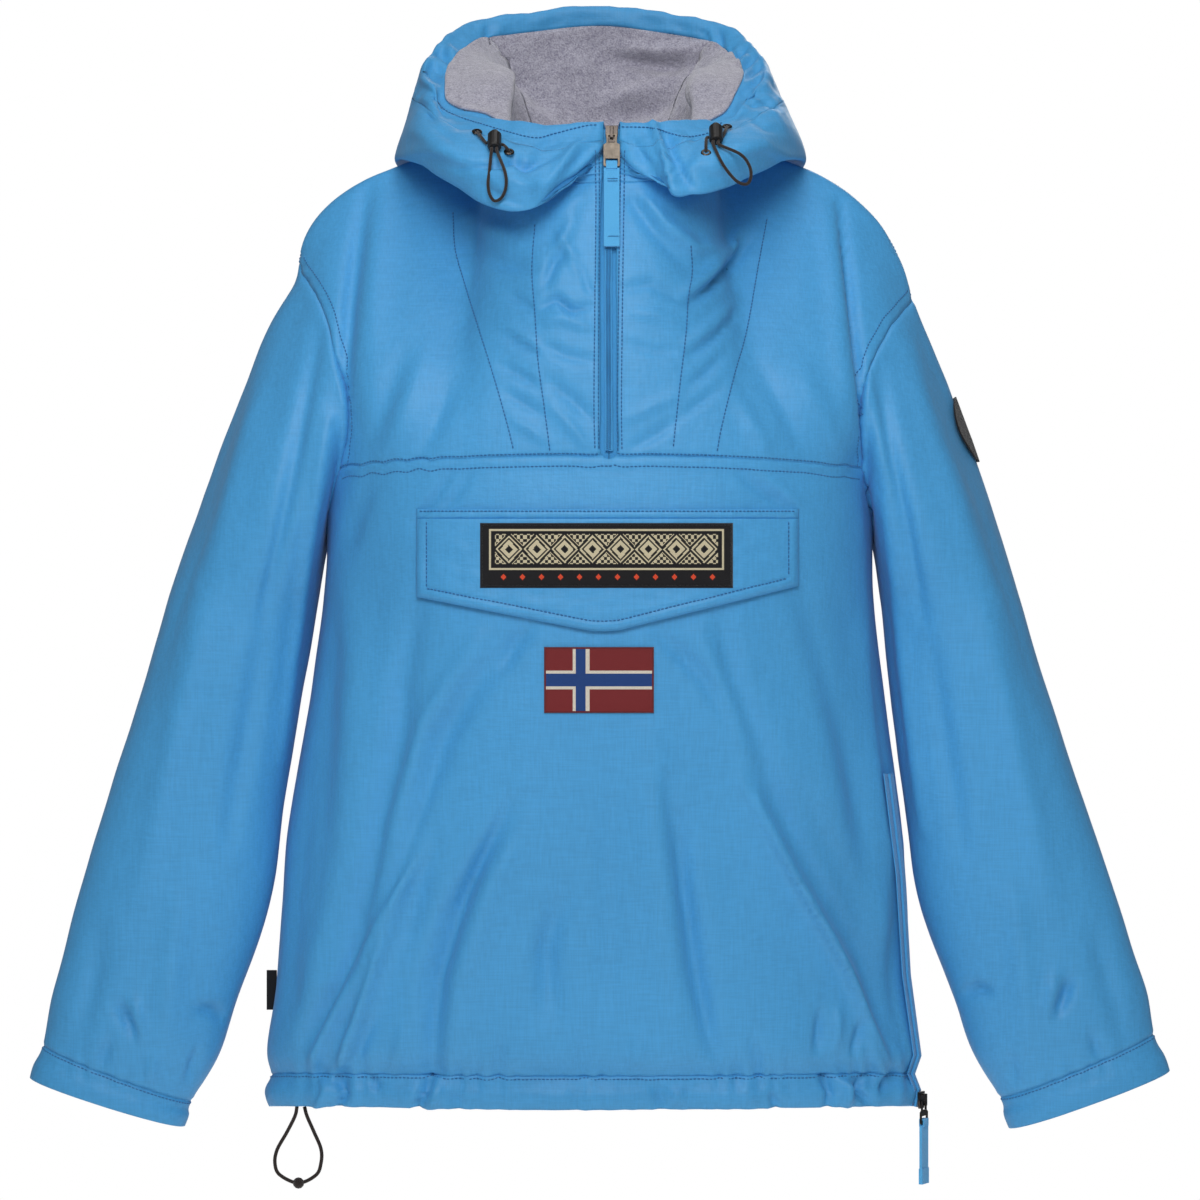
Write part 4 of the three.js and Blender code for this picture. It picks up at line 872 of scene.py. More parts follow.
# Uneven filling: the pieces, how fine it is along each axis, the seed and the height in metres.
soft = np.zeros(len(co))
for names, scale, seed, height in (
        ([n for n in SHEETS if n not in LININGS], (9, 9, 6), 3.1, 0.0011),
        ([n for n in SHEETS if n not in LININGS], (26, 26, 17), 11.0, 0.0006),
        ("hood_rim", (60, 60, 60), 5.0, 0.0016), (LININGS, (22, 22, 22), 8.0, 0.0022)):
    ids = np.where(any_of(names))[0]
    soft[ids] += noise_at(co[ids], scale, seed) * height
lift += soft


# Gathers beside the seams: short pleats that die out away from the sewing.
def near_seam(a, b, zone, reach):
    """Distance from each vertex of zone to the seam between a and b, up to reach."""
    tree = kd_tree(co[any_of(a) & any_of(b)])
    out = np.full(len(co), 9.0)
    for i in np.where(zone)[0]:
        _, _, d = tree.find(co[i])
        if d < reach:
            out[i] = d
    return out


def gathers(a, b, names, reach, pitch, height, coordinate, seed):
    d = near_seam(a, b, any_of(names), reach)
    ids = np.where(d < reach)[0]
    s = coordinate(ids)
    wobble = noise_at(np.stack([s, s * 0 + seed, d[ids] * 0.3], 1), (30, 1, 30), seed, 1)
    wave = np.sin(2 * math.pi * s / pitch + wobble * 5.0) * (0.55 + 0.45 * np.sin(s * 61 + seed))
    lift[ids] += wave * height * (1 - d[ids] / reach) ** 1.3


TRUNK, HEMS = ["front_lower", "back"], ["hem_front", "hem_back"]
gathers(TRUNK, HEMS, TRUNK + HEMS, 0.036, 0.015, 0.0021, lambda i: co[i, 0] + np.sign(co[i, 1]) * 0.003, 1.3)
for s in SIDES:
    gathers("sleeve_" + s, "cuff_" + s, ["sleeve_" + s, "cuff_" + s], 0.022, 0.016, 0.0009,
            lambda i: co[i, 0] * 1.1, 2.1)
    gathers(["yoke_" + s, *TRUNK], "sleeve_" + s, ["yoke_" + s, "back"], 0.014, 0.0105, 0.0008,
            lambda i: co[i, 2], 4.4)
gathers("hood_rim", HOOD_SHELLS, HOOD_PANELS, 0.026, 0.015, 0.0010,
        lambda i: np.arctan2(co[i, 0], co[i, 1]) * 0.12, 6.2)

# Seam lines are drawn in a little where two pieces are sewn together.
SEAM_SUNK, BAND_PUFF, STRIP_PROUD = 0.0010, 0.0015, 0.0007
seam = sum(m.astype(int) for m in member.values()) > 1
open_rim = member["hood_rim"] & any_of(HOOD_SHELLS) & ~any_of(LININGS)
lift[seam & ~open_rim] -= SEAM_SUNK
# The hem bands are padded: each stands proud between its two edges.
HEM_TOP, HEM_LOW = 1073, 1107
for n in HEMS:
    ids = np.where(member[n])[0]
    t = np.clip((vb[ids] - HEM_TOP) / (HEM_LOW - HEM_TOP), 0, 1)
    lift[ids] += BAND_PUFF * np.sin(np.pi * t)
co = co + no * lift[:, None]

# Raised felled strip along the chest seam.
ids = np.where(member["front_lower"])[0]
uu, vv = seen(co[ids])
top_line = 461 - 5 * smoothstep(uu, 340, 520) + 3 * smoothstep(uu, 605, 865)
strip = smoothstep(vv, top_line - 1, top_line + 1.5) * (1 - smoothstep(vv, top_line + 10, top_line + 12.5))
co[ids] += no[ids] * (strip * (no[ids, 1] < -0.2) * STRIP_PROUD)[:, None]

# Creased corners are eased, so that their folds don't cross: where the hood meets the yokes, and the
# lining's seams. Each row: the two sides of the seam, the pieces eased, and how far fully and at all.
EASED = [(YOKES, HOOD_PANELS, YOKES + HOOD_PANELS, 0.007, 0.016),
         (["hood_lining_left", "hood_lining_right"], "hood_lining_center", LININGS, 0.006, 0.014)]
EASE_ROUNDS, EASE_SHARE = 14, 0.6
links = quad_edges(quads)
uses = {}
for a, b in links.tolist():
    key = (min(a, b), max(a, b))
    uses[key] = uses.get(key, 0) + 1
open_edges = np.array([e for e, n in uses.items() if n == 1])
ties = np.bincount(links.ravel(), minlength=len(co))
ease = np.zeros(len(co))
for a, b, zone, full, none in EASED:
    ease = np.maximum(ease, EASE_SHARE * (1 - smoothstep(near_seam(a, b, any_of(zone), none), full, none)))
ease[open_edges.ravel()] = 0
for _ in range(EASE_ROUNDS):
    mean = np.zeros_like(co)
    np.add.at(mean, links[:, 0], co[links[:, 1]])
    np.add.at(mean, links[:, 1], co[links[:, 0]])
    co += (mean / ties[:, None] - co) * ease[:, None]


# The lining's edges are drawn onto the edges that they are sewn to.
def sew(name, to, reach, fade):
    """Moves the open edge of one piece onto the open edge of another, and its cloth after it."""
    own = open_edges[member[name][open_edges].all(1)]
    far = open_edges[member[to][open_edges].all(1) & ~member[name][open_edges].any(1)]
    goals = kd_tree(np.concatenate([co[far[:, 0]] * (1 - t) + co[far[:, 1]] * t for t in (0, 0.25, 0.5, 0.75, 1)]))
    ids = np.unique(own.ravel())
    hits = [goals.find(co[i]) for i in ids]
    moved = [(i, np.array(h[0]) - co[i]) for i, h in zip(ids, hits) if h[2] < reach]
    tree = kd_tree([co[i] for i, _ in moved])
    shifts = {}
    for i in np.where(member[name])[0]:
        _, k, d = tree.find(co[i])
        if k is not None and d < fade:
            shifts[i] = moved[k][1] * (1 - d / fade) ** 2
    for i, d in shifts.items():
        co[i] += d


for part in SIDES:
    sew("hood_lining_" + part, "hood_lining_center", 0.008, 0.016)
for part in ("left", "center", "right"):
    sew("hood_lining_" + part, "hood_rim", 0.006, 0.014)

no = vertex_normals(co)
surface = BVHTree.FromPolygons([Vector(p) for p in co], quads.tolist())

# ---------------------------------------------------------------- cloth pieces
THICK = {"fleece": 0.0020, "shell": 0.0022}


def slot_of(name):
    if name in LININGS:
        return "fleece", "fleece"
    if name.startswith(("hem", "cuff")) or name == "hood_rim":
        return "band", "shell_band"
    return "shell", "shell"


def cloth(name):
    ids, inv = np.unique(piece_quads[name].ravel(), return_inverse=True)
    q = inv.reshape(-1, 4)
    p, n, m = co[ids], no[ids], len(ids)
    inner = p - n * THICK["fleece" if name in LININGS else "shell"]
    keys = set(map(tuple, quad_edges(q).tolist()))
    rim = [(b, a, a + m, b + m) for a, b in keys if (b, a) not in keys]
    faces = q.tolist() + (q[:, ::-1] + m).tolist() + rim
    outside, slot = slot_of(name)
    back = "inside" if name not in LININGS else "fleece"
    index = [0] * len(q) + [1] * len(q) + [0] * len(rim)
    ob = make(name + "_cloth", np.concatenate([p, inner]), faces, [outside, back], indices=index)
    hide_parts(name)
    return ob


pieces = {n: cloth(n) for n in SHEETS}


# ---------------------------------------------------------------- stitches
def on_surface(px, py, off=0.0, tree=None):
    """Where a sight line meets the cloth, off above it, and the normal there."""
    to = (sight(px, py) - EYE).normalized()
    hit, normal, _, _ = (tree or surface).ray_cast(EYE, to)
    if hit is None:
        return None, None
    if normal.dot(to) > 0:
        normal = -normal
    return hit + normal * off, normal


def resample(points, pitch):
    """Points at an even pitch along a run."""
    pts = [Vector(p) for p in points]
    run, out, need = 0.0, [pts[0]], pitch
    for a, b in zip(pts, pts[1:]):
        d = (b - a).length
        while d > 1e-9 and run + d >= need:
            out.append(a.lerp(b, (need - run) / d))
            need += pitch
        run += d
    return out


STITCH, GAP, STITCH_RING = 0.0024, 0.0007, 5
THREAD_R, FINE_THREAD_R, FINE_PITCH = 0.00044, 0.00026, 0.0019
# Rings of one stitch: place along it, from -1 to 1, and size.
STITCH_RINGS = ((-1, 0.35), (-0.7, 0.95), (0, 1.12), (0.7, 0.95), (1, 0.35))


def stitch_mesh(runs, radius=THREAD_R, pitch=STITCH + GAP):
    verts, faces = [], []
    for points, normals in runs:
        pairs = resample(points, pitch)
        if len(pairs) < 2:
            continue
        tree = kd_tree(points)
        for a, b in zip(pairs, pairs[1:]):
            d = b - a
            if d.length < 1e-6 or d.length > pitch * 1.4:
                continue
            d.normalize()
            n = normals[tree.find((a + b) / 2)[1]]
            side = d.cross(n).normalized()
            up = side.cross(d).normalized()
            faces += ring_faces(len(verts), len(STITCH_RINGS), STITCH_RING)
            c = (a + b) / 2 + up * radius * 0.35
            half = STITCH / 2
            for t, r in STITCH_RINGS:
                for k in range(STITCH_RING):
                    w = 2 * math.pi * k / STITCH_RING
                    drop = up * (-(t * t) * radius * 0.7)
                    verts.append(c + d * half * t + drop
                                 + (side * math.cos(w) * 1.1 + up * math.sin(w) * 0.85) * radius * r)
    return verts, faces


SIGHT_STEP = 2.0
BEHIND = 0.01      # a sight that passes an opening and meets the far side is left out


def sighted(line, tree=None, off=0.0003):
    """The run on the cloth that is seen along a line of the view."""
    points, normals = [], []
    for q in smooth_path([Vector((*p, 0)) for p in line], SIGHT_STEP):
        p, n = on_surface(q.x, q.y, off, tree)
        if p is not None and p.y < BEHIND:
            points.append(p)
            normals.append(n)
    return points, normals


def seam_run(a, b, offset, toward):
    """Stitching beside the seam of a and b, offset into the piece named by toward."""
    qa, qb = (set(map(tuple, quad_edges(piece_quads[n]).tolist())) for n in (a, b))
    shared = {tuple(sorted(e)) for e in qa if (e[1], e[0]) in qb}
    link = {}
    for x, y in shared:
        link.setdefault(x, []).append(y)
        link.setdefault(y, []).append(x)
    runs, left = [], set(link)
    while left:
        ends = [i for i in left if len([j for j in link[i] if j in left]) <= 1]
        start = ends[0] if ends else next(iter(left))
        chain, at = [start], start
        left.discard(start)
        while True:
            nxt = [j for j in link[at] if j in left]
            if not nxt:
                break
            at = nxt[0]
            left.discard(at)
            chain.append(at)
        if not ends and len(chain) > 3:
            chain.append(chain[0])
        if len(chain) > 2:
            runs.append(chain)
    inside = kd_tree(co[member[toward] & ~seam])
    out = []
    for chain in runs:
        pts = [Vector(co[i]) for i in chain]
        nrm = [Vector(no[i]) for i in chain]
        points, normals = [], []
        for i, p in enumerate(pts):
            d = (pts[min(i + 1, len(pts) - 1)] - pts[max(i - 1, 0)]).normalized()
            across = d.cross(nrm[i]).normalized()
            inner = inside.find(p)[0] - p
            if across.dot(inner) < 0:
                across = -across
            q, n, _, _ = surface.find_nearest(p + across * offset)
            if n.dot(nrm[i]) < 0:
                n = -n
            points.append(q + n * 0.0001)
            normals.append(n)
        out.append((points, normals))
    return out


def stitches(name, runs, mat_name="thread_painted_shade", slot="shell", body=BODY, **kw):
    verts, faces = stitch_mesh(runs, **kw)
    if faces:
        make(name, verts, faces, [mat_name], body)


# How far each stitched row stands from its seam.
HEM_ROW, CUFF_ROW, ARMHOLE_ROW, SHOULDER_ROW, HOOD_ROW = 0.0024, 0.0022, 0.0088, 0.003, 0.002
CHEST_ROW_ABOVE, CHEST_ROW_BELOW = 0.0014, 0.0082
stitches("stitching_hem", seam_run("front_lower", "hem_front", HEM_ROW, "hem_front")
         + seam_run("back", "hem_back", HEM_ROW, "hem_back"))
for s in SIDES:
    yoke, sleeve, cuff, hood = "yoke_" + s, "sleeve_" + s, "cuff_" + s, "hood_" + s
    stitches("stitching_cuff_" + s, seam_run(sleeve, cuff, CUFF_ROW, cuff))
    stitches("stitching_armhole_" + s, seam_run(yoke, sleeve, ARMHOLE_ROW, yoke)
             + seam_run("back", sleeve, ARMHOLE_ROW, "back"))
    runs = seam_run(yoke, "back", SHOULDER_ROW, "back") + seam_run("front_lower", yoke, CHEST_ROW_ABOVE, yoke)
    runs += seam_run("front_lower", yoke, CHEST_ROW_BELOW, "front_lower")
    if s == "left":
        runs.append(sighted([(600, 465.8), (607, 466), (614, 465.8)]))      # below the zip
    stitches("stitching_chest_" + s, runs)
    stitches("stitching_hood_" + s, seam_run(hood, "hood_center", HOOD_ROW, hood)
             + seam_run(hood, "hood_center", HOOD_ROW, "hood_center"))
stitches("stitching_hood_edge", [sighted(l) for l in (
    [(437, 102), (446, 111), (462, 118), (478, 123), (505, 131), (535, 138), (553, 134), (585, 126), (600, 125)],
    [(621, 127), (652, 128), (672, 134), (689, 137), (712, 132), (722, 122)])])

YOKE_LINES = {
    "left": [[(453, 212), (455, 248), (463, 278), (477, 323), (493, 374), (507, 423), (514, 452)],
             [(535, 224), (532, 270), (535, 313), (538, 360), (544, 405), (550, 452)]],
    "right": [[(767, 219), (759, 262), (747, 329), (735, 372), (722, 425), (717, 452)],
              [(691, 245), (692, 274), (688, 299), (686, 333), (680, 384), (673, 450)]],
}
PLACKET_ROWS = (150, 200, 300, 400, 452)
PLACKET = {
    "left": [(595, 596, 595, 594, 595), (599, 599.5, 599, 598.5, 599)],
    "right": [(621, 620, 618.5, 617.5, 618), (625, 624, 622.5, 621.5, 622)],
}
for s in SIDES:
    stitches("stitching_yoke_" + s, [sighted(l) for l in YOKE_LINES[s]])
    stitches("stitching_placket_" + s, [sighted(list(zip(l, PLACKET_ROWS))) for l in PLACKET[s]])

# ---------------------------------------------------------------- pocket flap and patches
def laid(name, node, x0, x1, cols, span, rows, profile, on, thick, mats, kind=None, edge=0):
    """A piece that lies on the cloth, from x0 to x1 and in each column over span, and a tree of its face.

    profile gives how high its two faces lie there, and kind which material is seen."""
    xs = [x0 + (x1 - x0) * i / (cols - 1) for i in range(cols)]

    def y_at(x, j):
        low, high = span(x)
        return low + (high - low) * j / (rows - 1)

    outer, inner = [], []
    for j in range(rows):
        for x in xs:
            y = y_at(x, j)
            p, _ = on_surface(x, y, 0.0, on)
            low, high = profile(x, y, j / (rows - 1))
            up = (EYE - p).normalized()
            inner.append(p + up * low)
            outer.append(p + up * max(high, low + thick))
    faces = wall_faces(rows, cols)
    kinds = None
    if kind:
        kinds = [kind((a + b) / 2, y_at(a, j + 0.5)) for j in range(rows - 1) for a, b in zip(xs, xs[1:])]
        kinds += [edge] * (len(faces) - len(kinds))
    ob = make(name, outer + inner, faces, mats, indices=kinds)
    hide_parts(node)
    return ob, BVHTree.FromPolygons(outer, grid_faces(rows, cols))


def rounded(e, soft):
    """How full a padded edge is, e in from it."""
    return 1 - math.exp(-max(e, 0) / soft)


def bell(x, mid, width):
    return math.exp(-(((x - mid) / width) ** 2))


FLAP_L, FLAP_R, FLAP_POINT, FLAP_COLS = 416.0, 799.0, 605.0, 129
WELT_TOP, WELT_LOW = 509.0, 519.6
FLAP_LOW_L, FLAP_LOW_POINT, FLAP_LOW_R = 597.0, 634.0, 586.0
FLAP_INSET = 10.5


def flap_low(x):
    """The flap's pointed lower edge."""
    if x <= FLAP_POINT:
        y = FLAP_LOW_L + (FLAP_LOW_POINT - FLAP_LOW_L) * (x - FLAP_L) / (FLAP_POINT - FLAP_L)
    else:
        y = FLAP_LOW_POINT + (FLAP_LOW_R - FLAP_LOW_POINT) * (x - FLAP_POINT) / (FLAP_R - FLAP_POINT)
    return y - 2.2 * bell(x, FLAP_POINT, 9.0)


def flap_profile(x, y, t):
    e = min(x - FLAP_L, FLAP_R - x, (flap_low(x) - y) * 0.97)
    base = 0.0008 + 0.0022 * t * t
    puff = 0.0034 * rounded(e, 2.4) + 0.0003
    groove = -0.0010 * bell(e, FLAP_INSET, 1.5)
    roll = 0.0007 * bell(e, 5.0, 4.0)
    crumple = mnoise.fractal(Vector((x * 0.045, y * 0.06, 2.0)), 1.0, 2.0, 2) * 0.0007
    ripple = 0.00035 * math.sin((x + y) * 0.9) * bell(e, FLAP_INSET, 7.0)
    tuck = -0.0012 * bell(x, 428, 5) * bell(y, 560, 22)
    wave = max(0, 0.0011 * math.sin((x - FLAP_L) / (FLAP_R - FLAP_L) * math.pi * 3.0 + 0.6) * t * t)
    relief = (groove + roll + crumple + ripple + tuck) * min(1, e / 3 if e > 0 else 0)
    return base + wave, base + wave + puff + relief


def welt_profile(x, y, t):
    e = min(x - FLAP_L, FLAP_R - x)
    dome = math.sin(math.pi * min(1, max(0, t * 0.92 + 0.04))) ** 0.5
    return 0.0004, 0.0006 + 0.0040 * dome * rounded(e, 1.5) + 0.0002 * math.sin(x * 0.5)


flap, flap_tree = laid("pocket_flap_cloth", "pocket_flap", FLAP_L, FLAP_R, FLAP_COLS,
                       lambda x: (WELT_LOW - 1.0, flap_low(x)), 45, flap_profile, surface, 0.0006, ["shell"])
_, welt_tree = laid("flap_welt_cloth", "flap_welt", FLAP_L, FLAP_R, FLAP_COLS,
                    lambda x: (WELT_TOP, WELT_LOW), 11, welt_profile, surface, 0.0005, ["shell"])


def upright(x):
    """A stitched row down the flap, as far as its lower row."""
    return [(x, WELT_LOW + 2), (x, flap_low(x) - FLAP_INSET)]


row_l, row_r = FLAP_L + FLAP_INSET, FLAP_R - FLAP_INSET
low_xs = [row_l + (FLAP_R - FLAP_L - 2 * FLAP_INSET) * i / 40 for i in range(41)]
stitches("stitching_flap", [sighted(l, flap_tree) for l in (
    upright(row_l), [(x, flap_low(x) - FLAP_INSET) for x in low_xs], upright(row_r))])
welt_y = WELT_TOP + 2.4
stitches("stitching_welt", [sighted([(FLAP_L + 3, welt_y), (610, welt_y), (FLAP_R - 3, welt_y)], welt_tree)])

# Woven panel: a plain band of diamonds over a row of dots.
PX0, PX1, PY0, PY1 = 480.0, 733.0, 523.0, 588.0
PC, PR = 254, 66
BLACK, BEIGE, ORANGE = 0, 1, 2
DOT_TOP, DOT_PITCH = 47, 19.0
CELL, CELL_MID = 27.9, 26.2


def panel_kind(x, y):
    s, t = x - PX0, y - PY0
    w, h = PX1 - PX0, PY1 - PY0
    if s < 9 or s > w - 9 or t < 6 or t > h - 5:
        return BLACK
    if t < DOT_TOP and (s < 11.5 or s > w - 11.5 or t < 8 or t > 44.5):
        return BEIGE
    if t >= DOT_TOP:
        k = (s - 14) % DOT_PITCH
        return ORANGE if abs(k - DOT_PITCH / 2) + abs(t - 54) * 1.2 < 3.2 else BLACK
    if s < 15 or s > w - 15 or t < 11.5 or t > 41:
        return BLACK
    r = abs((s - 15) % CELL - CELL / 2) + abs(t - CELL_MID) * 0.95
    for limit, kind in ((4.0, BLACK), (9.0, BEIGE), (11.2, BLACK), (13.4, BEIGE)):
        if r < limit:
            return kind
    if (int(s // 3.1) + int(t // 3.1)) % 2 and r > 17.5:
        return BLACK
    return BEIGE if r > 16.5 else BLACK


def panel_profile(x, y, t):
    e = min(x - PX0, PX1 - x, y - PY0, PY1 - y)
    return 0.00015, 0.0003 + (0.0014 * rounded(e, 1.2) + (0.00022 if panel_kind(x, y) else 0))


panel, panel_tree = laid("woven_panel_patch", "woven_panel", PX0, PX1, PC, lambda x: (PY0, PY1), PR, panel_profile,
                         flap_tree, 0.0002, ["black", "beige", "orange"], panel_kind)
PANEL_ROW = 2.6                 # how far its stitched row stands from its edge
left, right, top, low = PX0 + PANEL_ROW, PX1 - PANEL_ROW, PY0 + PANEL_ROW, PY1 - PANEL_ROW
corners = [(left, top), (right, top), (right, low), (left, low)]
stitches("stitching_panel", [sighted([a, b], panel_tree) for a, b in zip(corners, corners[1:] + corners[:1])],
         "black", radius=FINE_THREAD_R)

# Flag patch.
GX0, GX1, GY0, GY1 = 544.0, 654.0, 647.0, 713.0
GC, GR = 112, 68
FLAG_EDGE = 2.4
RED, WHITE, NAVY, BORDER = 0, 1, 2, 3
FLAG_RELIEF = {RED: 0.0, WHITE: 0.00035, NAVY: 0.00022, BORDER: 0.0}


def flag_kind(x, y):
    if min(x - GX0, GX1 - x, y - GY0, GY1 - y) < FLAG_EDGE:
        return BORDER
    if 576 <= x <= 586 or 674 <= y <= 686:
        return NAVY
    if 572.6 <= x <= 589.4 or 670.8 <= y <= 689.2:
        return WHITE
    return RED


def flag_profile(x, y, t):
    e = min(x - GX0, GX1 - x, y - GY0, GY1 - y)
    return 0.0003, 0.0005 + 0.0012 * rounded(e, 0.9) + 0.0011 * bell(e, 1.2, 1.1) + FLAG_RELIEF[flag_kind(x, y)]


laid("flag_patch_cloth", "flag_patch", GX0, GX1, GC, lambda x: (GY0, GY1), GR, flag_profile, surface, 0.0002,
     ["red", "white", "navy", "border"], flag_kind, BORDER)


# ---------------------------------------------------------------- hard parts from their CAD solids
def refine(node, name, mat_name, body=BODY, bevel=0.0003, segments=2, angle=25, shift=(0, 0, 0), curved=False):
    """A CAD solid with its edges above angle rounded, and smooth faces where it is curved."""
    bm = bmesh.new()
    bm.from_mesh(NODES[node].data)
    bmesh.ops.translate(bm, verts=bm.verts, vec=shift)
    bmesh.ops.remove_doubles(bm, verts=bm.verts, dist=1e-5)
    if not curved:
        bmesh.ops.dissolve_limit(bm, angle_limit=math.radians(2), verts=bm.verts, edges=bm.edges)
    sharp = [e for e in bm.edges if len(e.link_faces) == 2 and e.calc_face_angle(0) > math.radians(angle)]
    bmesh.ops.bevel(bm, geom=sharp, offset=bevel, segments=segments, profile=0.7, affect="EDGES", clamp_overlap=True)
    bmesh.ops.triangulate(bm, faces=[f for f in bm.faces if len(f.verts) > 4])
    me = bpy.data.meshes.new(name)
    bm.to_mesh(me)
    bm.free()
    me.materials.clear()
    me.materials.append(M[mat_name])
    for p in me.polygons:
        p.use_smooth = curved
        p.material_index = 0
    if curved:
        me.set_sharp_from_angle(angle=math.radians(50))
    ob = bpy.data.objects.new(name, me)
    scene.collection.objects.link(ob)
    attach(ob, body)
    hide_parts(node)


for side, plate in (("", "nickel"), ("side_", "gunmetal")):
    pull = side + "zip_pull"
    refine(side + "zip_slider", side + "zip_slider_body", "gunmetal", bevel=0.00035)
    refine(pull, pull + "_plate", plate, pull)
    refine(side + "zip_tab", side + "zip_tab_webbing", "webbing", pull, bevel=0.0005)
for node, ending, bevel in (("zip_tape_left", "_cloth", 0.0002), ("zip_tape_right", "_cloth", 0.0002),
                            ("zip_chain", "_coil", 0.0004), ("side_zip_tape", "_cloth", 0.0002),
                            ("side_zip_chain", "_coil", 0.0004)):
    refine(node, node + ending, "tape", bevel=bevel)
refine("side_label", "side_label_loop", "black", bevel=0.0004, shift=(0.0035, 0, 0))
refine("sleeve_badge", "sleeve_badge_patch", "black", bevel=0.0004, angle=45, curved=True)
for s in SIDES:
    refine("cord_lock_" + s, "cord_lock_body_" + s, "plastic", bevel=0.0005, segments=3)
    refine("cord_lock_button_" + s, "cord_lock_knob_" + s, "plastic", bevel=0.0004, segments=3)
    for k in (1, 2):
        refine(f"eyelet_{s}_{k}", f"eyelet_ring_{s}_{k}", "gunmetal")
refine("hem_cord_knot", "hem_cord_tie", "cord", bevel=0.0002)

TOOTH_PITCH, TOOTH_HALF, TOOTH_SIDES = 0.00135, 0.00085, 5
TOOTH_OUT, TOOTH_PROUD, TOOTH_LEAN = 0.00095, 0.00015, 0.00022
# Rings of one tooth: place along it, from -1 to 1, and size.
TOOTH_RINGS = ((-1, 0.45), (-0.55, 0.95), (0.45, 1.0), (1, 0.6))


def teeth(node, name, bottom, top):
    """Two rows of coil teeth along the front of a chain that runs up the object."""
    pts = arrays(NODES[node].data)[0]
    levels = np.unique(np.round(pts[:, 2], 3))
    mid_x = [pts[abs(pts[:, 2] - z) < 0.0006][:, 0].mean() for z in levels]
    near_y = [pts[abs(pts[:, 2] - z) < 0.0006][:, 1].min() for z in levels]
    verts, faces = [], []
    for k in range(int((top - bottom) / TOOTH_PITCH)):
        for side in (-1, 1):
            z = bottom + (k + 0.25 * side) * TOOTH_PITCH
            c = Vector((np.interp(z, levels, mid_x) + side * TOOTH_OUT, np.interp(z, levels, near_y) - TOOTH_PROUD, z))
            faces += ring_faces(len(verts), len(TOOTH_RINGS), TOOTH_SIDES, flip=side > 0)
            for t, r in TOOTH_RINGS:
                for i in range(TOOTH_SIDES):
                    w = 2 * math.pi * i / TOOTH_SIDES
                    verts.append(c + Vector((side * t * TOOTH_HALF, math.cos(w) * 0.00045 * r,
                                             math.sin(w) * 0.00042 * r + t * TOOTH_LEAN)))
    make(name, verts, faces, ["coil"])


teeth("zip_chain", "zip_teeth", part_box("zip_chain")[0].z + 0.001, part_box("zip_slider")[0].z - 0.0005)

# Sewn rows across the webbing of the main pull.
tab_bm = bmesh.new()
tab_bm.from_mesh(NODES["zip_tab"].data)
tab_tree = BVHTree.FromBMesh(tab_bm)
tab_bm.free()
TAB_ROWS = ((607.5, 618.5, 178.6), (607.5, 618.5, 181.0), (608.2, 619.6, 236.2), (608.2, 619.6, 247.6))
rows = [sighted([(a, y), ((a + b) / 2, y), (b, y)], tab_tree) for a, b, y in TAB_ROWS]
stitches("stitching_tab", [r for r in rows if len(r[0]) > 1], slot="webbing", body="zip_pull",
         radius=FINE_THREAD_R, pitch=FINE_PITCH)

# ---------------------------------------------------------------- cords
def tube(name, points, radius):
    """A round cord through the points, and its length."""
    cu = bpy.data.curves.new(name, "CURVE")
    cu.dimensions = "3D"
    cu.bevel_depth = radius
    cu.bevel_resolution = 4
    cu.resolution_u = 6
    sp = cu.splines.new("POLY")
    dense = smooth_path(points)
    sp.points.add(len(dense) - 1)
    for q, p in zip(sp.points, dense):
        q.co = (*p, 1)
    sp.use_smooth = True
    cu.use_fill_caps = True
    cu.materials.append(M["cord"])
    ob = bpy.data.objects.new(name, cu)
    scene.collection.objects.link(ob)
    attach(ob, BODY)
    return ob, round(sum((b - a).length for a, b in zip(dense, dense[1:])), 4)


def centre(node):
    lo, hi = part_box(node)
    return (lo + hi) / 2


def way_in(hole, port, away):
    """From an eyelet to the port in the side of the lock."""
    return [hole, hole.lerp(port + away * 0.003, 0.45) + Vector((0, -0.003, 0)), port + away * 0.0022, port]


LEAN = 0.72                     # of the cord locks, back from upright
AXIS = Vector((0, math.sin(LEAN), math.cos(LEAN)))
LOOPS = {
    "left": [(489.5, 170), (488, 184), (490, 195), (495, 201), (502, 197), (506, 186), (505, 172)],
    "right": [(721, 161), (729, 173), (738, 182), (747, 184), (751, 176), (749, 165), (740, 154)],
}
LOCK_TALL, LOCK_RADIUS, CORD_R, HEM_CORD_R = 0.015, 0.0052, 0.0012, 0.0014
LOOP_CLEAR, LOOP_DEPTH = 0.0042, 0.012      # how far the loop hangs before the cloth, and how deep it may be
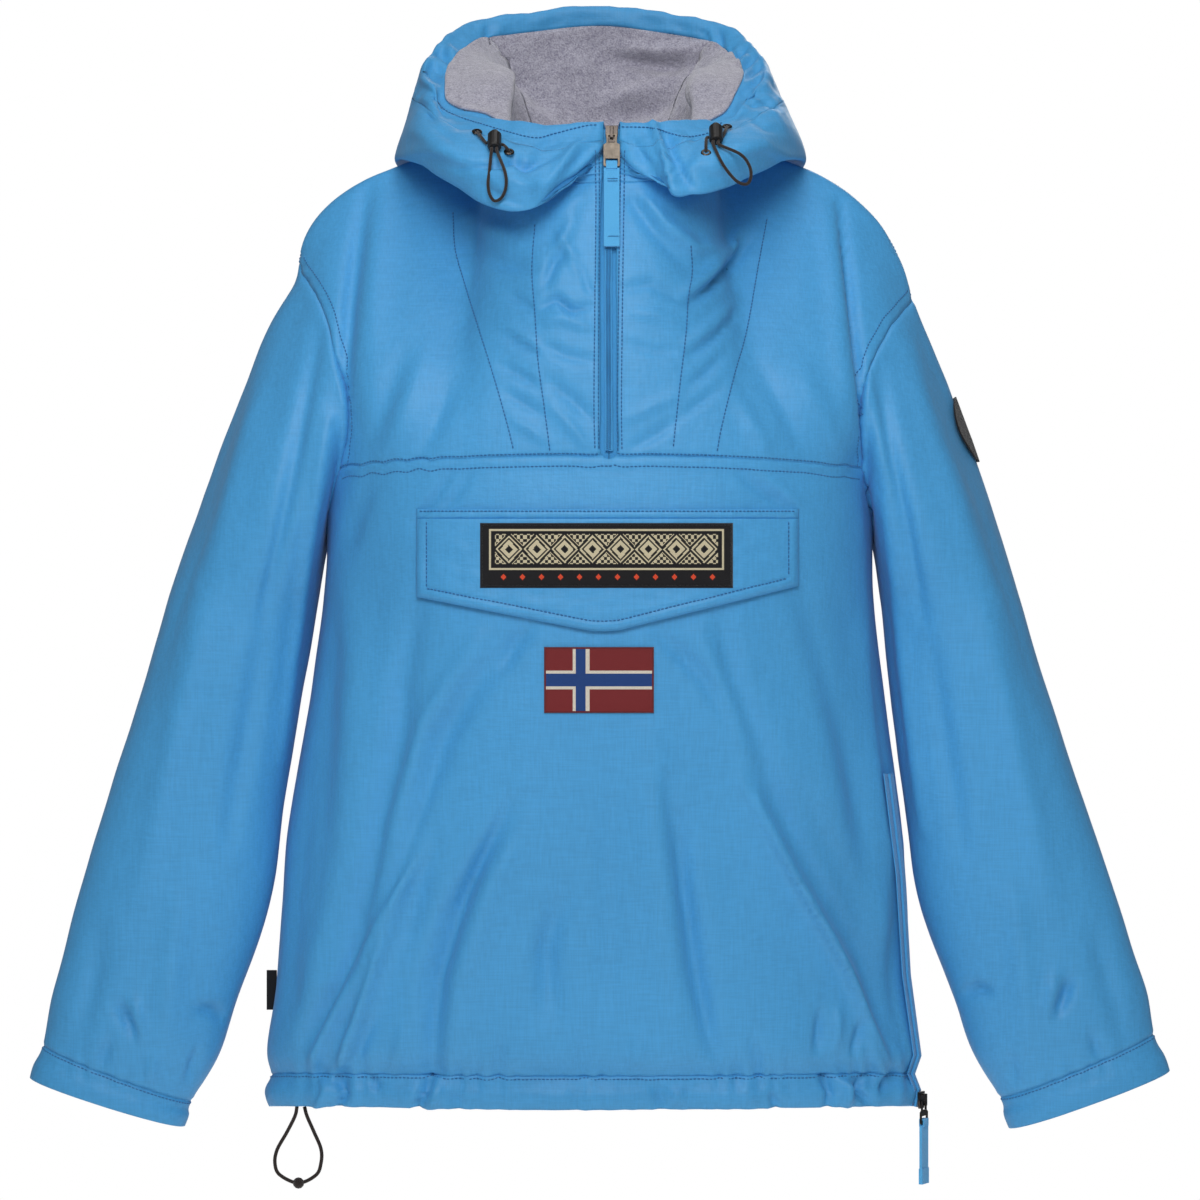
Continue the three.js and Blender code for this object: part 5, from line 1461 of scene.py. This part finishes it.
# Where a strand passes through the foot of the lock: along the lock's axis from its foot, and aside.
STRAND = ((0.003, 0.0018), (0.0, 0.002), (-0.004, 0.0022))
for s in SIDES:
    lock = centre("cord_lock_" + s)
    ports = []
    for k in (0, 1):
        hole = centre(f"eyelet_{s}_{k + 1}")
        aside = hole - lock
        away = (aside - AXIS * aside.dot(AXIS)).normalized()
        ports.append((hole, lock + away * (LOCK_RADIUS + 0.0004) + AXIS * (0.003 - 0.004 * k), away))
    bottom = lock - AXIS * (LOCK_TALL / 2 + 0.0003)
    loop, y = [], bottom.y
    for px, py in LOOPS[s]:
        hit, _ = on_surface(px, py)
        y = min(y, hit.y - LOOP_CLEAR) if hit is not None else y
        loop.append((px, py, y))
    deepest = min(p[2] for p in loop) + LOOP_DEPTH
    path = way_in(*ports[0]) + [lock + AXIS * 0.002 + Vector((-0.001, 0, 0))]
    path += [bottom + AXIS * a + Vector((-x, 0, 0)) for a, x in STRAND]
    path += [sight(px, py, min(y, deepest)) for px, py, y in loop]
    path += [bottom + AXIS * a + Vector((x, 0, 0)) for a, x in reversed(STRAND)]
    path += [lock + AXIS * -0.001 + Vector((0.001, 0, 0)), *reversed(way_in(*ports[1]))]
    ob, length = tube("hood_cord_" + s, path, CORD_R)
    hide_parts(f"hood_cord_{s}_1", f"hood_cord_{s}_2", f"hood_cord_loop_{s}")

HEM_Y = -0.045                  # depth of the hem cord's loop
knot = centre("hem_cord_knot")
left = [sight(*p, HEM_Y) for p in ((297, 1106.4), (295, 1116), (287, 1132), (277, 1150), (275, 1164), (280, 1175))]
right = [sight(*p, HEM_Y) for p in ((304.5, 1106.7), (307, 1116), (314, 1132), (321, 1149), (321, 1163), (316, 1175))]
path = [*left, knot, *reversed(right)]
ob, length = tube("hem_cord", path, HEM_CORD_R)
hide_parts("hem_cord_left", "hem_cord_right")

# ---------------------------------------------------------------- floor
bpy.ops.mesh.primitive_circle_add(vertices=96, radius=3.4, fill_type="NGON", location=(0, 0.3, -1.5))
floor = bpy.context.object
floor.name = "floor"
fmat = Nodes("floor_paper")
floor_tone = fmat.ramp(fmat.noise(3), [(0.3, (0.86, 0.86, 0.86, 1)), (0.7, (0.9, 0.9, 0.9, 1))])
fmat.tree.links.new(floor_tone, fmat.bsdf.inputs["Emission Color"])
floor.data.materials.append(fmat.done(floor_tone, 0.9, **{"Emission Strength": 0.4}))
